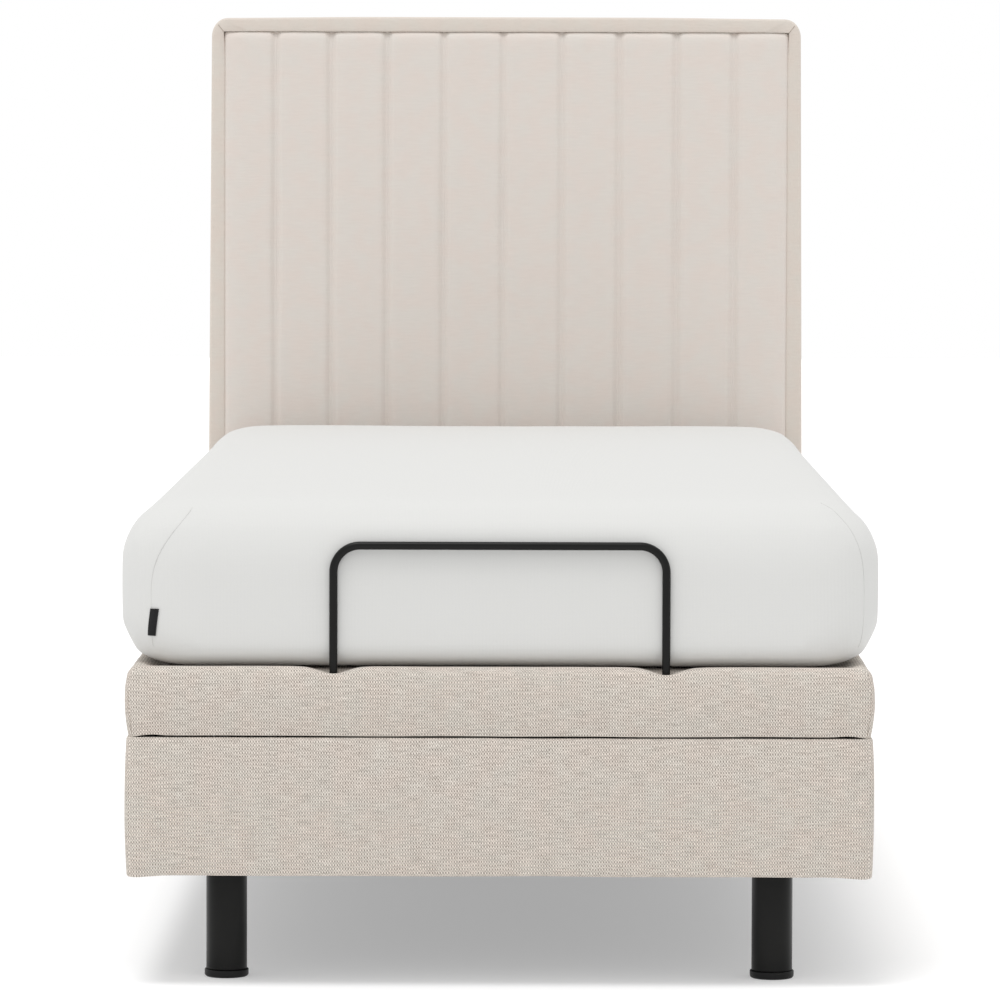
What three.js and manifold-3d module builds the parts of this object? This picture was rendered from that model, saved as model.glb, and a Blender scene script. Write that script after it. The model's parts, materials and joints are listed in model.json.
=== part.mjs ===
// Adjustable bed with an upholstered box base, a four-section lifting platform,
// a mattress with its foot retainer bar, and a channelled headboard.
// Millimetres, +Z up, +Y towards the head end, origin on the floor at the centre of the footprint.
import * as THREE from "three";
import { mergeVertices } from "three/addons/utils/BufferGeometryUtils.js";
import Module from "manifold-3d";

const wasm = await Module();
wasm.setup();

// ---- Driving dimensions ----
const GAP = 0.3; // clearance between pieces that touch
const PAD_WIDTH = 902; // upholstered platform, across
const BOX_WIDTH = 902; // upholstered box, across
const BASE_LENGTH = 2030; // box and platform, foot to head
const LEG_HEIGHT = 135; // floor to the underside of the box
const BOX_TOP = 303;
const PAD_BOTTOM = 305;
const PAD_TOP = 390;
const HINGE_Z = 350; // every section pivots at this height
const FABRIC = 2; // box upholstery
const PANEL = 16; // chipboard box panels
const BOX_CORNER = 16; // plan radius of the box's upholstered corners
const DECK_CORNER = 18;

const BACK_LENGTH = 795;
const SEAT_LENGTH = 260;
const THIGH_LENGTH = 360;
const CALF_LENGTH = 615;
const SECTION_GAP = 2; // each section stops this far short of its hinge line

const BACK_LIFT = THREE.MathUtils.degToRad(60);
const THIGH_LIFT = THREE.MathUtils.degToRad(35);
const KNEE_RATIO = 1.56; // knee fold per unit of thigh lift

const MATTRESS_WIDTH = 917;
const MATTRESS_LENGTH = 2000;
const MATTRESS_DEPTH = 200;
const MATTRESS_CORNER = 85; // plan radius
const MATTRESS_EDGE = 62; // edge rounding, top and bottom

const HEADBOARD_WIDTH = 920;
const HEADBOARD_TOP = 1215;
const HEADBOARD_DEPTH = 80;
const HEADBOARD_GAP = 6; // box to headboard
const HEADBOARD_BORDER = 23;
const HEADBOARD_CORNER = 36;
const HEADBOARD_PAD_BOTTOM = 330;

const LEG_RADIUS = 25;
const LEG_X = 334;
const LEG_INSET = 97; // leg centre from the end of the box
const GLIDE_RADIUS = 27;
const GLIDE_HEIGHT = 9.5;

const BAR_RADIUS = 5; // retainer bar
const BAR_X = 201;
const BAR_TOP = 534.5;
const BAR_BEND = 32;
const BAR_INSET = 15; // rod centre from the foot face

const RAIL_INNER = 402.5; // base frame side rails
const RAIL_OUTER = 430;
const RAIL_BOTTOM = 245;
const RAIL_TOP = 290;

const TUBE_RADIUS = 20; // torque tubes
const TUBE_DROP = 110; // below the hinge line
const ARM_X = 330;
const ROLLER_RADIUS = 20;
const ROLLER_WIDTH = 24;
const TRACK_GAP = 0.6; // roller to track
const LEVER = 70; // torque tube to actuator pin, measured straight down
const PIN_RADIUS = 6;
const BACK_ARM = { reach: 40, length: 300, ratio: 0.93, depth: 14, x: -110 };
const LEG_ARM = { reach: 20, length: 240, ratio: 0.94, depth: 14, x: 110 };

// ---- Places worked out from them ----
const TOTAL_LENGTH = BASE_LENGTH + HEADBOARD_GAP + HEADBOARD_DEPTH;
const FOOT_Y = -TOTAL_LENGTH / 2;
const HEAD_Y = FOOT_Y + BASE_LENGTH;
const HEADBOARD_Y = HEAD_Y + HEADBOARD_GAP;
const BACK_Y = TOTAL_LENGTH / 2;
const KNEE_Y = FOOT_Y + CALF_LENGTH;
const THIGH_Y = KNEE_Y + THIGH_LENGTH;
const BACK_HINGE_Y = THIGH_Y + SEAT_LENGTH;
const MATTRESS_FOOT_Y = HEADBOARD_Y - 14 - MATTRESS_LENGTH;
// Heights from the hinge line.
const TOP = PAD_TOP - HINGE_Z;
const BOTTOM = PAD_BOTTOM - HINGE_Z;
const DECK_TOP = 11;
const DECK_BOTTOM = -4;
const FRAME_TOP = DECK_BOTTOM - GAP;
const FRAME_BOTTOM = FRAME_TOP - 25;
const COVER = 3;
const MATTRESS_BOTTOM = TOP + GAP;
const MATTRESS_TOP = TOP + MATTRESS_DEPTH;
const EYE_RADIUS = 10.8;
const HINGE_ROD_RADIUS = 5;

const COLOURS = {
  fabric: { color: 0xccc2b8, roughness: 0.92, metalness: 0 },
  mattress: { color: 0xf0f0ee, roughness: 0.9, metalness: 0 },
  black: { color: 0x1e1e1c, roughness: 0.4, metalness: 0.2 },
  steel: { color: 0x3a3c3f, roughness: 0.45, metalness: 0.7 },
  zinc: { color: 0xa8abad, roughness: 0.35, metalness: 0.9 },
  board: { color: 0xb99a72, roughness: 0.8, metalness: 0 },
  foam: { color: 0xe8dfc0, roughness: 0.95, metalness: 0 },
  nylon: { color: 0xe6e4dc, roughness: 0.5, metalness: 0 },
  plastic: { color: 0x2a2b2d, roughness: 0.55, metalness: 0 },
  lining: { color: 0x222222, roughness: 0.95, metalness: 0 },
};

// ---- Geometry helpers ----
function solid(geometry) {
  const bare = geometry.index ? geometry.toNonIndexed() : geometry.clone();
  bare.deleteAttribute("normal");
  bare.deleteAttribute("uv");
  const merged = mergeVertices(bare, 1e-4);
  return new wasm.Manifold(
    new wasm.Mesh({
      numProp: 3,
      vertProperties: merged.attributes.position.array,
      triVerts: new Uint32Array(merged.index.array),
    }),
  );
}

function geometryOf(manifold) {
  const mesh = manifold.getMesh();
  const geometry = new THREE.BufferGeometry();
  const positions = new Float32Array(mesh.numVert * 3);
  for (let i = 0; i < mesh.numVert; i++) {
    positions.set(mesh.vertProperties.subarray(i * mesh.numProp, i * mesh.numProp + 3), i * 3);
  }
  geometry.setAttribute("position", new THREE.BufferAttribute(positions, 3));
  geometry.setIndex(new THREE.BufferAttribute(new Uint32Array(mesh.triVerts), 1));
  const faceted = geometry.toNonIndexed();
  faceted.computeVertexNormals();
  return faceted;
}

function join(...geometries) {
  return geometryOf(geometries.map(solid).reduce((whole, next) => whole.add(next)));
}

function cut(geometry, ...tools) {
  return geometryOf(tools.map(solid).reduce((whole, tool) => whole.subtract(tool), solid(geometry)));
}

function common(geometry, other) {
  return geometryOf(solid(geometry).intersect(solid(other)));
}

function block([x0, x1], [y0, y1], [z0, z1]) {
  const box = new THREE.BoxGeometry(x1 - x0, y1 - y0, z1 - z0);
  return box.translate((x0 + x1) / 2, (y0 + y1) / 2, (z0 + z1) / 2);
}

function shapeOf(points) {
  return new THREE.Shape(points.map(([a, b]) => new THREE.Vector2(a, b)));
}

// A side outline in (y, z), swept across the bed from x0 to x1.
function sideProfile(shape, x0, x1, curveSegments = 10) {
  const geometry = new THREE.ExtrudeGeometry(shape, {
    depth: x1 - x0,
    bevelEnabled: false,
    curveSegments,
  });
  const across = new THREE.Matrix4().makeBasis(
    new THREE.Vector3(0, 1, 0),
    new THREE.Vector3(0, 0, 1),
    new THREE.Vector3(1, 0, 0),
  );
  return geometry.applyMatrix4(across).translate(x0, 0, 0);
}

// A front outline in (x, z), swept from y0 to y1.
function frontProfile(shape, y0, y1, curveSegments = 8) {
  const geometry = new THREE.ExtrudeGeometry(shape, {
    depth: y1 - y0,
    bevelEnabled: false,
    curveSegments,
  });
  return geometry.rotateX(Math.PI / 2).translate(0, y1, 0);
}

// A plan outline in (x, y), swept from z0 to z1.
function planProfile(shape, z0, z1, curveSegments = 8) {
  const geometry = new THREE.ExtrudeGeometry(shape, {
    depth: z1 - z0,
    bevelEnabled: false,
    curveSegments,
  });
  return geometry.translate(0, 0, z0);
}

function roundedRect(x0, x1, y0, y1, lowRadius, highRadius) {
  const shape = new THREE.Shape();
  shape.moveTo(x0 + lowRadius, y0);
  shape.lineTo(x1 - lowRadius, y0);
  if (lowRadius > 0) shape.absarc(x1 - lowRadius, y0 + lowRadius, lowRadius, -Math.PI / 2, 0);
  shape.lineTo(x1, y1 - highRadius);
  shape.absarc(x1 - highRadius, y1 - highRadius, highRadius, 0, Math.PI / 2);
  shape.lineTo(x0 + highRadius, y1);
  shape.absarc(x0 + highRadius, y1 - highRadius, highRadius, Math.PI / 2, Math.PI);
  shape.lineTo(x0, y0 + lowRadius);
  if (lowRadius > 0) shape.absarc(x0 + lowRadius, y0 + lowRadius, lowRadius, Math.PI, Math.PI * 1.5);
  return shape;
}

function rodAcross(radius, x0, x1, y, z, segments = 24) {
  const rod = new THREE.CylinderGeometry(radius, radius, x1 - x0, segments);
  return rod.rotateZ(Math.PI / 2).translate((x0 + x1) / 2, y, z);
}

function rodAlong(radius, y0, y1, x, z, segments = 24) {
  const rod = new THREE.CylinderGeometry(radius, radius, y1 - y0, segments);
  return rod.translate(x, (y0 + y1) / 2, z);
}

function rodUp(radius, z0, z1, x, y, segments = 24) {
  const rod = new THREE.CylinderGeometry(radius, radius, z1 - z0, segments);
  return rod.rotateX(Math.PI / 2).translate(x, y, (z0 + z1) / 2);
}

// A flat plate with round ends between two points of the side view.
function link(from, to, radius) {
  const along = Math.atan2(to[1] - from[1], to[0] - from[0]);
  const shape = new THREE.Shape();
  shape.absarc(from[0], from[1], radius, along + Math.PI / 2, along + Math.PI * 1.5);
  shape.absarc(to[0], to[1], radius, along - Math.PI / 2, along + Math.PI / 2);
  return shape;
}

function mesh(name, geometry, colour) {
  const piece = new THREE.Mesh(geometry, new THREE.MeshStandardMaterial(COLOURS[colour]));
  piece.name = name;
  return piece;
}

// ---- Motion geometry, in a section's own side view with its hinge at the origin ----
function turned([y, z], angle) {
  return [y * Math.cos(angle) - z * Math.sin(angle), y * Math.sin(angle) + z * Math.cos(angle)];
}

function armStart(arm) {
  return Math.asin((TUBE_DROP - arm.depth - ROLLER_RADIUS) / arm.length);
}

// Where the roller's centre stands when the section has lifted by angle, in the base's side view.
function rollerCentre(arm, angle) {
  const swing = armStart(arm) + arm.ratio * angle;
  return [
    arm.reach + arm.length * Math.cos(swing),
    -TUBE_DROP + arm.length * Math.sin(swing),
  ];
}

// The path of the roller's centre as the lifting section sees it.
function rollerPath(arm, lift, steps = 10) {
  const path = [];
  for (let i = 0; i <= steps; i++) {
    const angle = (lift * i) / steps;
    path.push(turned(rollerCentre(arm, angle), -angle));
  }
  return path.sort((a, b) => a[0] - b[0]);
}

// The room that a round nose of this radius sweeps out along a path of centres.
function sweptRoom(path, radius, x0, x1) {
  return path.slice(1).map((to, i) => sideProfile(link(path[i], to, radius), x0, x1, 8));
}

// The curved track that a lift roller runs under, side = +1 towards the head, -1 towards the foot.
function rollerTrack(arm, lift, side, x0, x1) {
  const path = rollerPath(arm, lift).map(([y, z]) => [side * y, z]);
  const reach = ROLLER_RADIUS + TRACK_GAP;
  const lead = 12;
  const ys = path.map(([y]) => y);
  const span = [Math.min(...ys) - lead, Math.max(...ys) + lead];
  const lowest = Math.min(...path.map(([, z]) => z)) + reach;
  const bar = block([x0, x1], span, [lowest, FRAME_TOP]);
  return cut(bar, ...sweptRoom(path, reach, x0 - 1, x1 + 1));
}

// ---- Upholstered platform sections ----
// ends: { at, above, below, hinged }, where above and below are the angles that the end face
// leans back from the hinge line, and at is the hinge line's or the free end's place.
function sectionOutline(low, high, inset, bottom, top) {
  const lowGap = (low.hinged ? SECTION_GAP : 0) + inset;
  const highGap = (high.hinged ? SECTION_GAP : 0) + inset;
  const edge = (end, gap, height, sign) => {
    const lean = height > 0 ? end.above : end.below;
    return [end.at + sign * (gap + Math.abs(height) * Math.tan(lean)), height];
  };
  const points = [edge(low, lowGap, bottom, 1), edge(high, highGap, bottom, -1)];
  if (bottom < 0 && top > 0) points.push(edge(high, highGap, 0, -1));
  points.push(edge(high, highGap, top, -1), edge(low, lowGap, top, 1));
  if (bottom < 0 && top > 0) points.push(edge(low, lowGap, 0, 1));
  return shapeOf(points);
}

function sectionCover(low, high) {
  const half = PAD_WIDTH / 2;
  const inner = half - COVER;
  const past = 12;
  const outer = sideProfile(sectionOutline(low, high, 0, BOTTOM, TOP), -half, half);
  const foamRoom = sideProfile(sectionOutline(low, high, COVER, DECK_TOP, TOP - COVER), -inner, inner);
  const lowEnd = low.hinged ? low.at - past : low.at + COVER;
  const highEnd = high.hinged ? high.at + past : high.at - COVER;
  const deckRoom = block([-inner, inner], [lowEnd, highEnd], [BOTTOM - past, DECK_TOP + GAP]);
  return cut(outer, join(foamRoom, deckRoom));
}

function sectionFoam(low, high) {
  const inner = PAD_WIDTH / 2 - COVER - GAP;
  const outline = sectionOutline(low, high, COVER + GAP, DECK_TOP + 2 * GAP, TOP - COVER - GAP);
  return sideProfile(outline, -inner, inner);
}

function sectionDeck(low, high) {
  const inner = PAD_WIDTH / 2 - COVER - GAP;
  const margin = 14;
  const y0 = low.at + (low.hinged ? margin : COVER + GAP);
  const y1 = high.at - (high.hinged ? margin : COVER + GAP);
  return planProfile(roundedRect(-inner, inner, y0, y1, DECK_CORNER, DECK_CORNER), DECK_BOTTOM, DECK_TOP, 3);
}

function upholstery(name, low, high) {
  return [
    mesh(name + "_deck", sectionDeck(low, high), "board"),
    mesh(name + "_foam", sectionFoam(low, high), "foam"),
    mesh(name + "_cover", sectionCover(low, high), "fabric"),
  ];
}

// A hinge eye on a stem that reaches from the eye to a section's side rail.
function eye(y, side, x0, x1) {
  const ring = rodAcross(EYE_RADIUS, x0, x1, y, 0, 20);
  const reach = 34;
  const stem = block([x0, x1], side > 0 ? [y, y + reach] : [y - reach, y], [-14, -5]);
  return [ring, stem];
}

// Outer and inner halves of the side rail's width, where two frames share one hinge rod.
const INNER_LEAF = [405, 417];
const OUTER_LEAF = [417.6, 430];

function mirrored([x0, x1]) {
  return [-x1, -x0];
}

function bothSides(make) {
  return [make((range) => range), make(mirrored)].flat();
}

// A welded frame of two side rails and cross members, with eyes at its hinge lines.
function sectionFrame(y0, y1, crossAt, eyes, extras) {
  const half = 12;
  const rails = bothSides((side) => block(side([405, 430]), [y0, y1], [FRAME_BOTTOM, FRAME_TOP]));
  const crosses = crossAt.map((y) => block([-410, 410], [y - half, y + half], [FRAME_BOTTOM, FRAME_TOP]));
  const leaves = eyes.flatMap(({ at, towards, leaf }) =>
    bothSides((side) => eye(at, towards, ...side(leaf))),
  );
  const whole = join(...rails, ...crosses, ...leaves, ...extras);
  const holes = eyes.map(({ at }) => rodAcross(HINGE_ROD_RADIUS + GAP, -440, 440, at, 0, 20));
  return cut(whole, ...holes);
}

function hingeRod(name, y) {
  return mesh(name, rodAcross(HINGE_ROD_RADIUS, -432, 432, y, 0, 16), "zinc");
}

const TRACK_X = [ARM_X + 4, ARM_X + 4 + ROLLER_WIDTH];

// ---- Mattress ----
function mattressWhole() {
  const half = MATTRESS_WIDTH / 2;
  const headY = MATTRESS_FOOT_Y + MATTRESS_LENGTH;
  const z0 = HINGE_Z + MATTRESS_BOTTOM;
  const z1 = HINGE_Z + MATTRESS_TOP;
  const r = MATTRESS_EDGE;
  const front = roundedRect(-half, half, z0, z1, r, r);
  const side = roundedRect(MATTRESS_FOOT_Y, headY, z0, z1, r, r);
  const plan = roundedRect(-half, half, MATTRESS_FOOT_Y, headY, MATTRESS_CORNER, MATTRESS_CORNER);
  const across = common(frontProfile(front, MATTRESS_FOOT_Y, headY, 3), planProfile(plan, z0, z1, 4));
  return common(across, sideProfile(side, -half, half, 3));
}

// A wedge-sided slice of the mattress between two fold lines of the platform.
function mattressSlice(whole, low, high) {
  const clear = 0.6;
  const past = 60;
  const edge = (end, height, sign) => {
    const lean = Math.tan(end.above);
    return [end.at + sign * (end.hinged ? clear + height * lean : -past), HINGE_Z + height];
  };
  const bottom = MATTRESS_BOTTOM - 10;
  const top = MATTRESS_TOP + 10;
  const points = [edge(low, bottom, 1), edge(high, bottom, -1), edge(high, top, -1), edge(low, top, 1)];
  return common(whole, sideProfile(shapeOf(points), -MATTRESS_WIDTH, MATTRESS_WIDTH));
}

// The wedge of mattress over a fold line, which squeezes shut as the section lifts.
function mattressFold(whole, y, lean) {
  const clear = 0.6;
  const bottom = MATTRESS_BOTTOM - 10;
  const top = MATTRESS_TOP + 10;
  const halfAt = (height) => height * Math.tan(lean) - clear;
  const points = [
    [y - halfAt(bottom), HINGE_Z + bottom],
    [y + halfAt(bottom), HINGE_Z + bottom],
    [y + halfAt(top), HINGE_Z + top],
    [y - halfAt(top), HINGE_Z + top],
  ];
  return common(whole, sideProfile(shapeOf(points), -MATTRESS_WIDTH, MATTRESS_WIDTH));
}

// ---- Section ends, in the bed's own y ----
const KNEE_FOLD = KNEE_RATIO * THIGH_LIFT;
const footEnd = { at: FOOT_Y, above: 0, below: 0, hinged: false };
const kneeEnd = { at: KNEE_Y, above: 0, below: KNEE_FOLD / 2, hinged: true };
const thighEnd = { at: THIGH_Y, above: THIGH_LIFT / 2, below: 0, hinged: true };
const backEnd = { at: BACK_HINGE_Y, above: BACK_LIFT / 2, below: 0, hinged: true };
const headEnd = { at: HEAD_Y, above: 0, below: 0, hinged: false };

function shifted(end, origin) {
  return { ...end, at: end.at - origin };
}

const mattress = mattressWhole();

function mattressPiece(name, low, high, originY) {
  const slice = mattressSlice(mattress, low, high).translate(0, -originY, -HINGE_Z);
  return mesh(name, slice, "mattress");
}

// ---- Lifting sections ----
function backSection() {
  const group = new THREE.Group();
  group.position.set(0, BACK_HINGE_Y, HINGE_Z);
  const low = shifted(backEnd, BACK_HINGE_Y);
  const high = shifted(headEnd, BACK_HINGE_Y);
  const tracks = bothSides((side) => rollerTrack(BACK_ARM, BACK_LIFT, 1, ...side(TRACK_X)));
  const ties = bothSides((side) => block(side(TRACK_X), [140, 408], [FRAME_TOP - 5, FRAME_TOP]));
  const frame = sectionFrame(
    20,
    BACK_LENGTH - 25,
    [140, 408, BACK_LENGTH - 60],
    [{ at: 0, towards: 1, leaf: INNER_LEAF }],
    [...tracks, ...ties],
  );
  group.add(mesh("back_frame", frame, "steel"));
  group.add(...upholstery("back", low, high));
  group.add(mattressPiece("mattress_back", backEnd, headEnd, BACK_HINGE_Y));
  return group;
}

function thighSection() {
  const group = new THREE.Group();
  group.position.set(0, THIGH_Y, HINGE_Z);
  const low = shifted(kneeEnd, THIGH_Y);
  const high = shifted(thighEnd, THIGH_Y);
  const tracks = bothSides((side) => rollerTrack(LEG_ARM, THIGH_LIFT, -1, ...side(TRACK_X)));
  const ties = bothSides((side) => block(side(TRACK_X), [-306, -128], [FRAME_TOP - 5, FRAME_TOP]));
  const frame = sectionFrame(
    -THIGH_LENGTH + 20,
    -20,
    [-306, -128],
    [
      { at: 0, towards: -1, leaf: INNER_LEAF },
      { at: -THIGH_LENGTH, towards: 1, leaf: INNER_LEAF },
    ],
    [...tracks, ...ties],
  );
  group.add(mesh("thigh_frame", frame, "steel"));
  group.add(...upholstery("thigh", low, high));
  group.add(mattressPiece("mattress_thigh", kneeEnd, thighEnd, THIGH_Y));
  group.add(hingeRod("knee_hinge_rod", -THIGH_LENGTH));
  group.add(calfSection());
  return group;
}

const SKID = { along: 575, drop: 42, radius: 15 }; // nose that the calf frame rests on

function skids() {
  return bothSides((side) => [
    rodAcross(SKID.radius, ...side([407, 428]), -SKID.along, -SKID.drop, 20),
    block(side([407, 428]), [-SKID.along - 11, -SKID.along + 11], [-SKID.drop, FRAME_BOTTOM + 1]),
  ]);
}

function retainerBar() {
  const foot = BOTTOM + 18;
  const top = BAR_TOP - HINGE_Z;
  const at = (x, z) => new THREE.Vector3(x, 0, z);
  const path = new THREE.CurvePath();
  path.add(new THREE.LineCurve3(at(-BAR_X, foot), at(-BAR_X, top - BAR_BEND)));
  path.add(
    new THREE.QuadraticBezierCurve3(at(-BAR_X, top - BAR_BEND), at(-BAR_X, top), at(-BAR_X + BAR_BEND, top)),
  );
  path.add(new THREE.LineCurve3(at(-BAR_X + BAR_BEND, top), at(BAR_X - BAR_BEND, top)));
  path.add(
    new THREE.QuadraticBezierCurve3(at(BAR_X - BAR_BEND, top), at(BAR_X, top), at(BAR_X, top - BAR_BEND)),
  );
  path.add(new THREE.LineCurve3(at(BAR_X, top - BAR_BEND), at(BAR_X, foot)));
  const section = new THREE.Shape().absarc(0, 0, BAR_RADIUS, 0, Math.PI * 2);
  const bar = new THREE.ExtrudeGeometry(section, { steps: 56, extrudePath: path, curveSegments: 4 });
  return bar.translate(0, -CALF_LENGTH + BAR_INSET, 0);
}

function barHoles(z0, z1) {
  return [-BAR_X, BAR_X].map((x) => rodUp(BAR_RADIUS + 1, z0, z1, x, -CALF_LENGTH + BAR_INSET, 16));
}

function barSocket(x) {
  const y = -CALF_LENGTH + BAR_INSET;
  return block([x - 11, x + 11], [y - 10.5, y + 44], [FRAME_BOTTOM, FRAME_TOP]);
}

function calfSection() {
  const group = new THREE.Group();
  group.position.set(0, -THIGH_LENGTH, 0);
  const low = shifted(footEnd, KNEE_Y);
  const high = shifted(kneeEnd, KNEE_Y);
  const welded = sectionFrame(
    -CALF_LENGTH + 25,
    -20,
    [-CALF_LENGTH + 50, -300, -60],
    [{ at: 0, towards: -1, leaf: OUTER_LEAF }],
    [...skids(), barSocket(-BAR_X), barSocket(BAR_X)],
  );
  const [deck, foam, cover] = upholstery("calf", low, high);
  for (const piece of [deck, foam, cover]) {
    piece.geometry = cut(piece.geometry, ...barHoles(BOTTOM + 5, TOP + 5));
  }
  group.add(mesh("calf_frame", cut(welded, ...barHoles(BOTTOM, 0)), "steel"));
  group.add(deck, foam, cover);
  group.add(mattressPiece("mattress_calf", footEnd, kneeEnd, KNEE_Y));
  group.add(mesh("retainer_bar", retainerBar(), "black"));
  return group;
}

// ---- Lift frames: torque tube, roller arms with stub axles, slotted lever ----
function liftFrame(name, arm, side, lift) {
  const swing = armStart(arm);
  const tip = [side * arm.length * Math.cos(swing), arm.length * Math.sin(swing)];
  const journal = 398.5;
  const tube = rodAcross(TUBE_RADIUS, -388, 388, 0, 0, 28);
  const journals = rodAcross(10, -journal, journal, 0, 0, 20);
  const arms = bothSides((range) => [
    sideProfile(link([0, 0], tip, 14), ...range([ARM_X - 5, ARM_X + 3]), 8),
    rodAcross(6, ...range([ARM_X, TRACK_X[1] + 2]), ...tip, 16),
  ]);
  const halfSwing = (arm.ratio * lift) / 2;
  const leverEnd = LEVER / Math.cos(halfSwing);
  const lean = -side * halfSwing;
  const onLever = (distance) => [distance * Math.sin(lean), -distance * Math.cos(lean)];
  const lever = sideProfile(link([0, 0], onLever(leverEnd), 17), arm.x - 4, arm.x + 4, 8);
  const slotShape = link(onLever(LEVER - 1.5), onLever(leverEnd + 1.5), PIN_RADIUS + 2);
  const slot = sideProfile(slotShape, arm.x - 6, arm.x + 6, 6);
  const whole = cut(join(tube, journals, ...arms, lever), slot);
  const group = new THREE.Group();
  group.position.set(0, liftY(arm, side), HINGE_Z - TUBE_DROP);
  group.add(mesh(name + "_lift_frame", whole, "steel"));
  const roller = new THREE.Shape().absarc(0, 0, ROLLER_RADIUS, 0, Math.PI * 2);
  roller.holes.push(new THREE.Path().absarc(0, 0, 6.3, 0, Math.PI * 2, true));
  const rollerSides = { left: mirrored, right: (range) => range };
  for (const [label, range] of Object.entries(rollerSides)) {
    const [x0, x1] = range([TRACK_X[0] - 0.5, TRACK_X[1] - 1]);
    const wheel = mesh(`${name}_roller_${label}`, sideProfile(roller, x0, x1, 10), "nylon");
    wheel.position.set(0, tip[0], tip[1]);
    group.add(wheel);
  }
  return group;
}

function liftY(arm, side) {
  const hinge = side > 0 ? BACK_HINGE_Y : THIGH_Y;
  return hinge + side * arm.reach;
}

// ---- Linear actuators: drive housing, guide tube, sliding rod with fork and pin ----
const ACTUATOR = { rod: 10, bore: 11, tube: 17, tubeLength: 99, housing: 74, fork: 40 };

function actuator(name, arm, side, lift) {
  const group = new THREE.Group();
  const pinY = liftY(arm, side) - side * LEVER * Math.tan((arm.ratio * lift) / 2);
  group.position.set(arm.x, pinY, HINGE_Z - TUBE_DROP - LEVER);
  if (side < 0) group.rotation.z = Math.PI;
  const forkBack = -ACTUATOR.fork;
  const tubeFront = forkBack - 4;
  const tubeBack = tubeFront - ACTUATOR.tubeLength;
  const housingBack = tubeBack - ACTUATOR.housing;
  const cheeks = [5, -11].map((x) => block([x, x + 6], [forkBack, 9], [-10, 10]));
  const fork = block([-11, 11], [forkBack, forkBack + 12], [-10, 10]);
  const pin = rodAcross(PIN_RADIUS, -10, 10, 0, 0, 16);
  const shaft = rodAlong(ACTUATOR.rod, tubeBack + 6, forkBack + 4, 0, 0, 20);
  const tubeOuter = rodAlong(ACTUATOR.tube, tubeBack, tubeFront, 0, 0, 24);
  const tubeBore = rodAlong(ACTUATOR.bore, tubeBack + 4, tubeFront + 5, 0, 0, 20);
  const casing = planProfile(roundedRect(-34, 34, housingBack, tubeBack - GAP, 10, 10), -30, 26, 4);
  const motor = rodAlong(22, housingBack + 6, tubeBack - 8, 0, 34, 24);
  const spigot = block([-9, 9], [housingBack - 13, housingBack + 4], [-12, 12]);
  group.add(mesh(name + "_drive_rod", join(shaft, fork, ...cheeks, pin), "zinc"));
  group.add(mesh(name + "_drive_tube", cut(tubeOuter, tubeBore), "zinc"));
  group.add(mesh(name + "_drive_housing", join(casing, motor, spigot), "plastic"));
  return group;
}

function actuatorRear(arm, side, lift) {
  const pinY = liftY(arm, side) - side * LEVER * Math.tan((arm.ratio * lift) / 2);
  return pinY - side * (ACTUATOR.fork + 4 + ACTUATOR.tubeLength + ACTUATOR.housing);
}

// ---- Base frame ----
// The calf skid's path, in the bed's side view, as the thigh lifts by angle.
function skidCentre(angle) {
  const slope = (KNEE_RATIO - 1) * angle;
  const knee = [THIGH_Y - THIGH_LENGTH * Math.cos(angle), HINGE_Z + THIGH_LENGTH * Math.sin(angle)];
  const [y, z] = turned([-SKID.along, -SKID.drop], slope);
  return [knee[0] + y, knee[1] + z];
}

function skidTrack([x0, x1]) {
  const steps = 9;
  const path = [];
  for (let i = 0; i <= steps; i++) path.push(skidCentre((THIGH_LIFT * i) / steps));
  const reach = SKID.radius + TRACK_GAP;
  const [start, end] = [path[0], path[steps]];
  const bar = block([x0, x1], [start[0] - 6, end[0] + 14], [RAIL_TOP - 6, end[1] - reach]);
  return cut(bar, ...sweptRoom(path, reach, x0 - 1, x1 + 1));
}

function bearingPlate(y, range) {
  const z = HINGE_Z - TUBE_DROP;
  const plate = roundedRect(y - 32, y + 32, z - 28, RAIL_TOP, 12, 2);
  return sideProfile(plate, ...range, 4);
}

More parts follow.
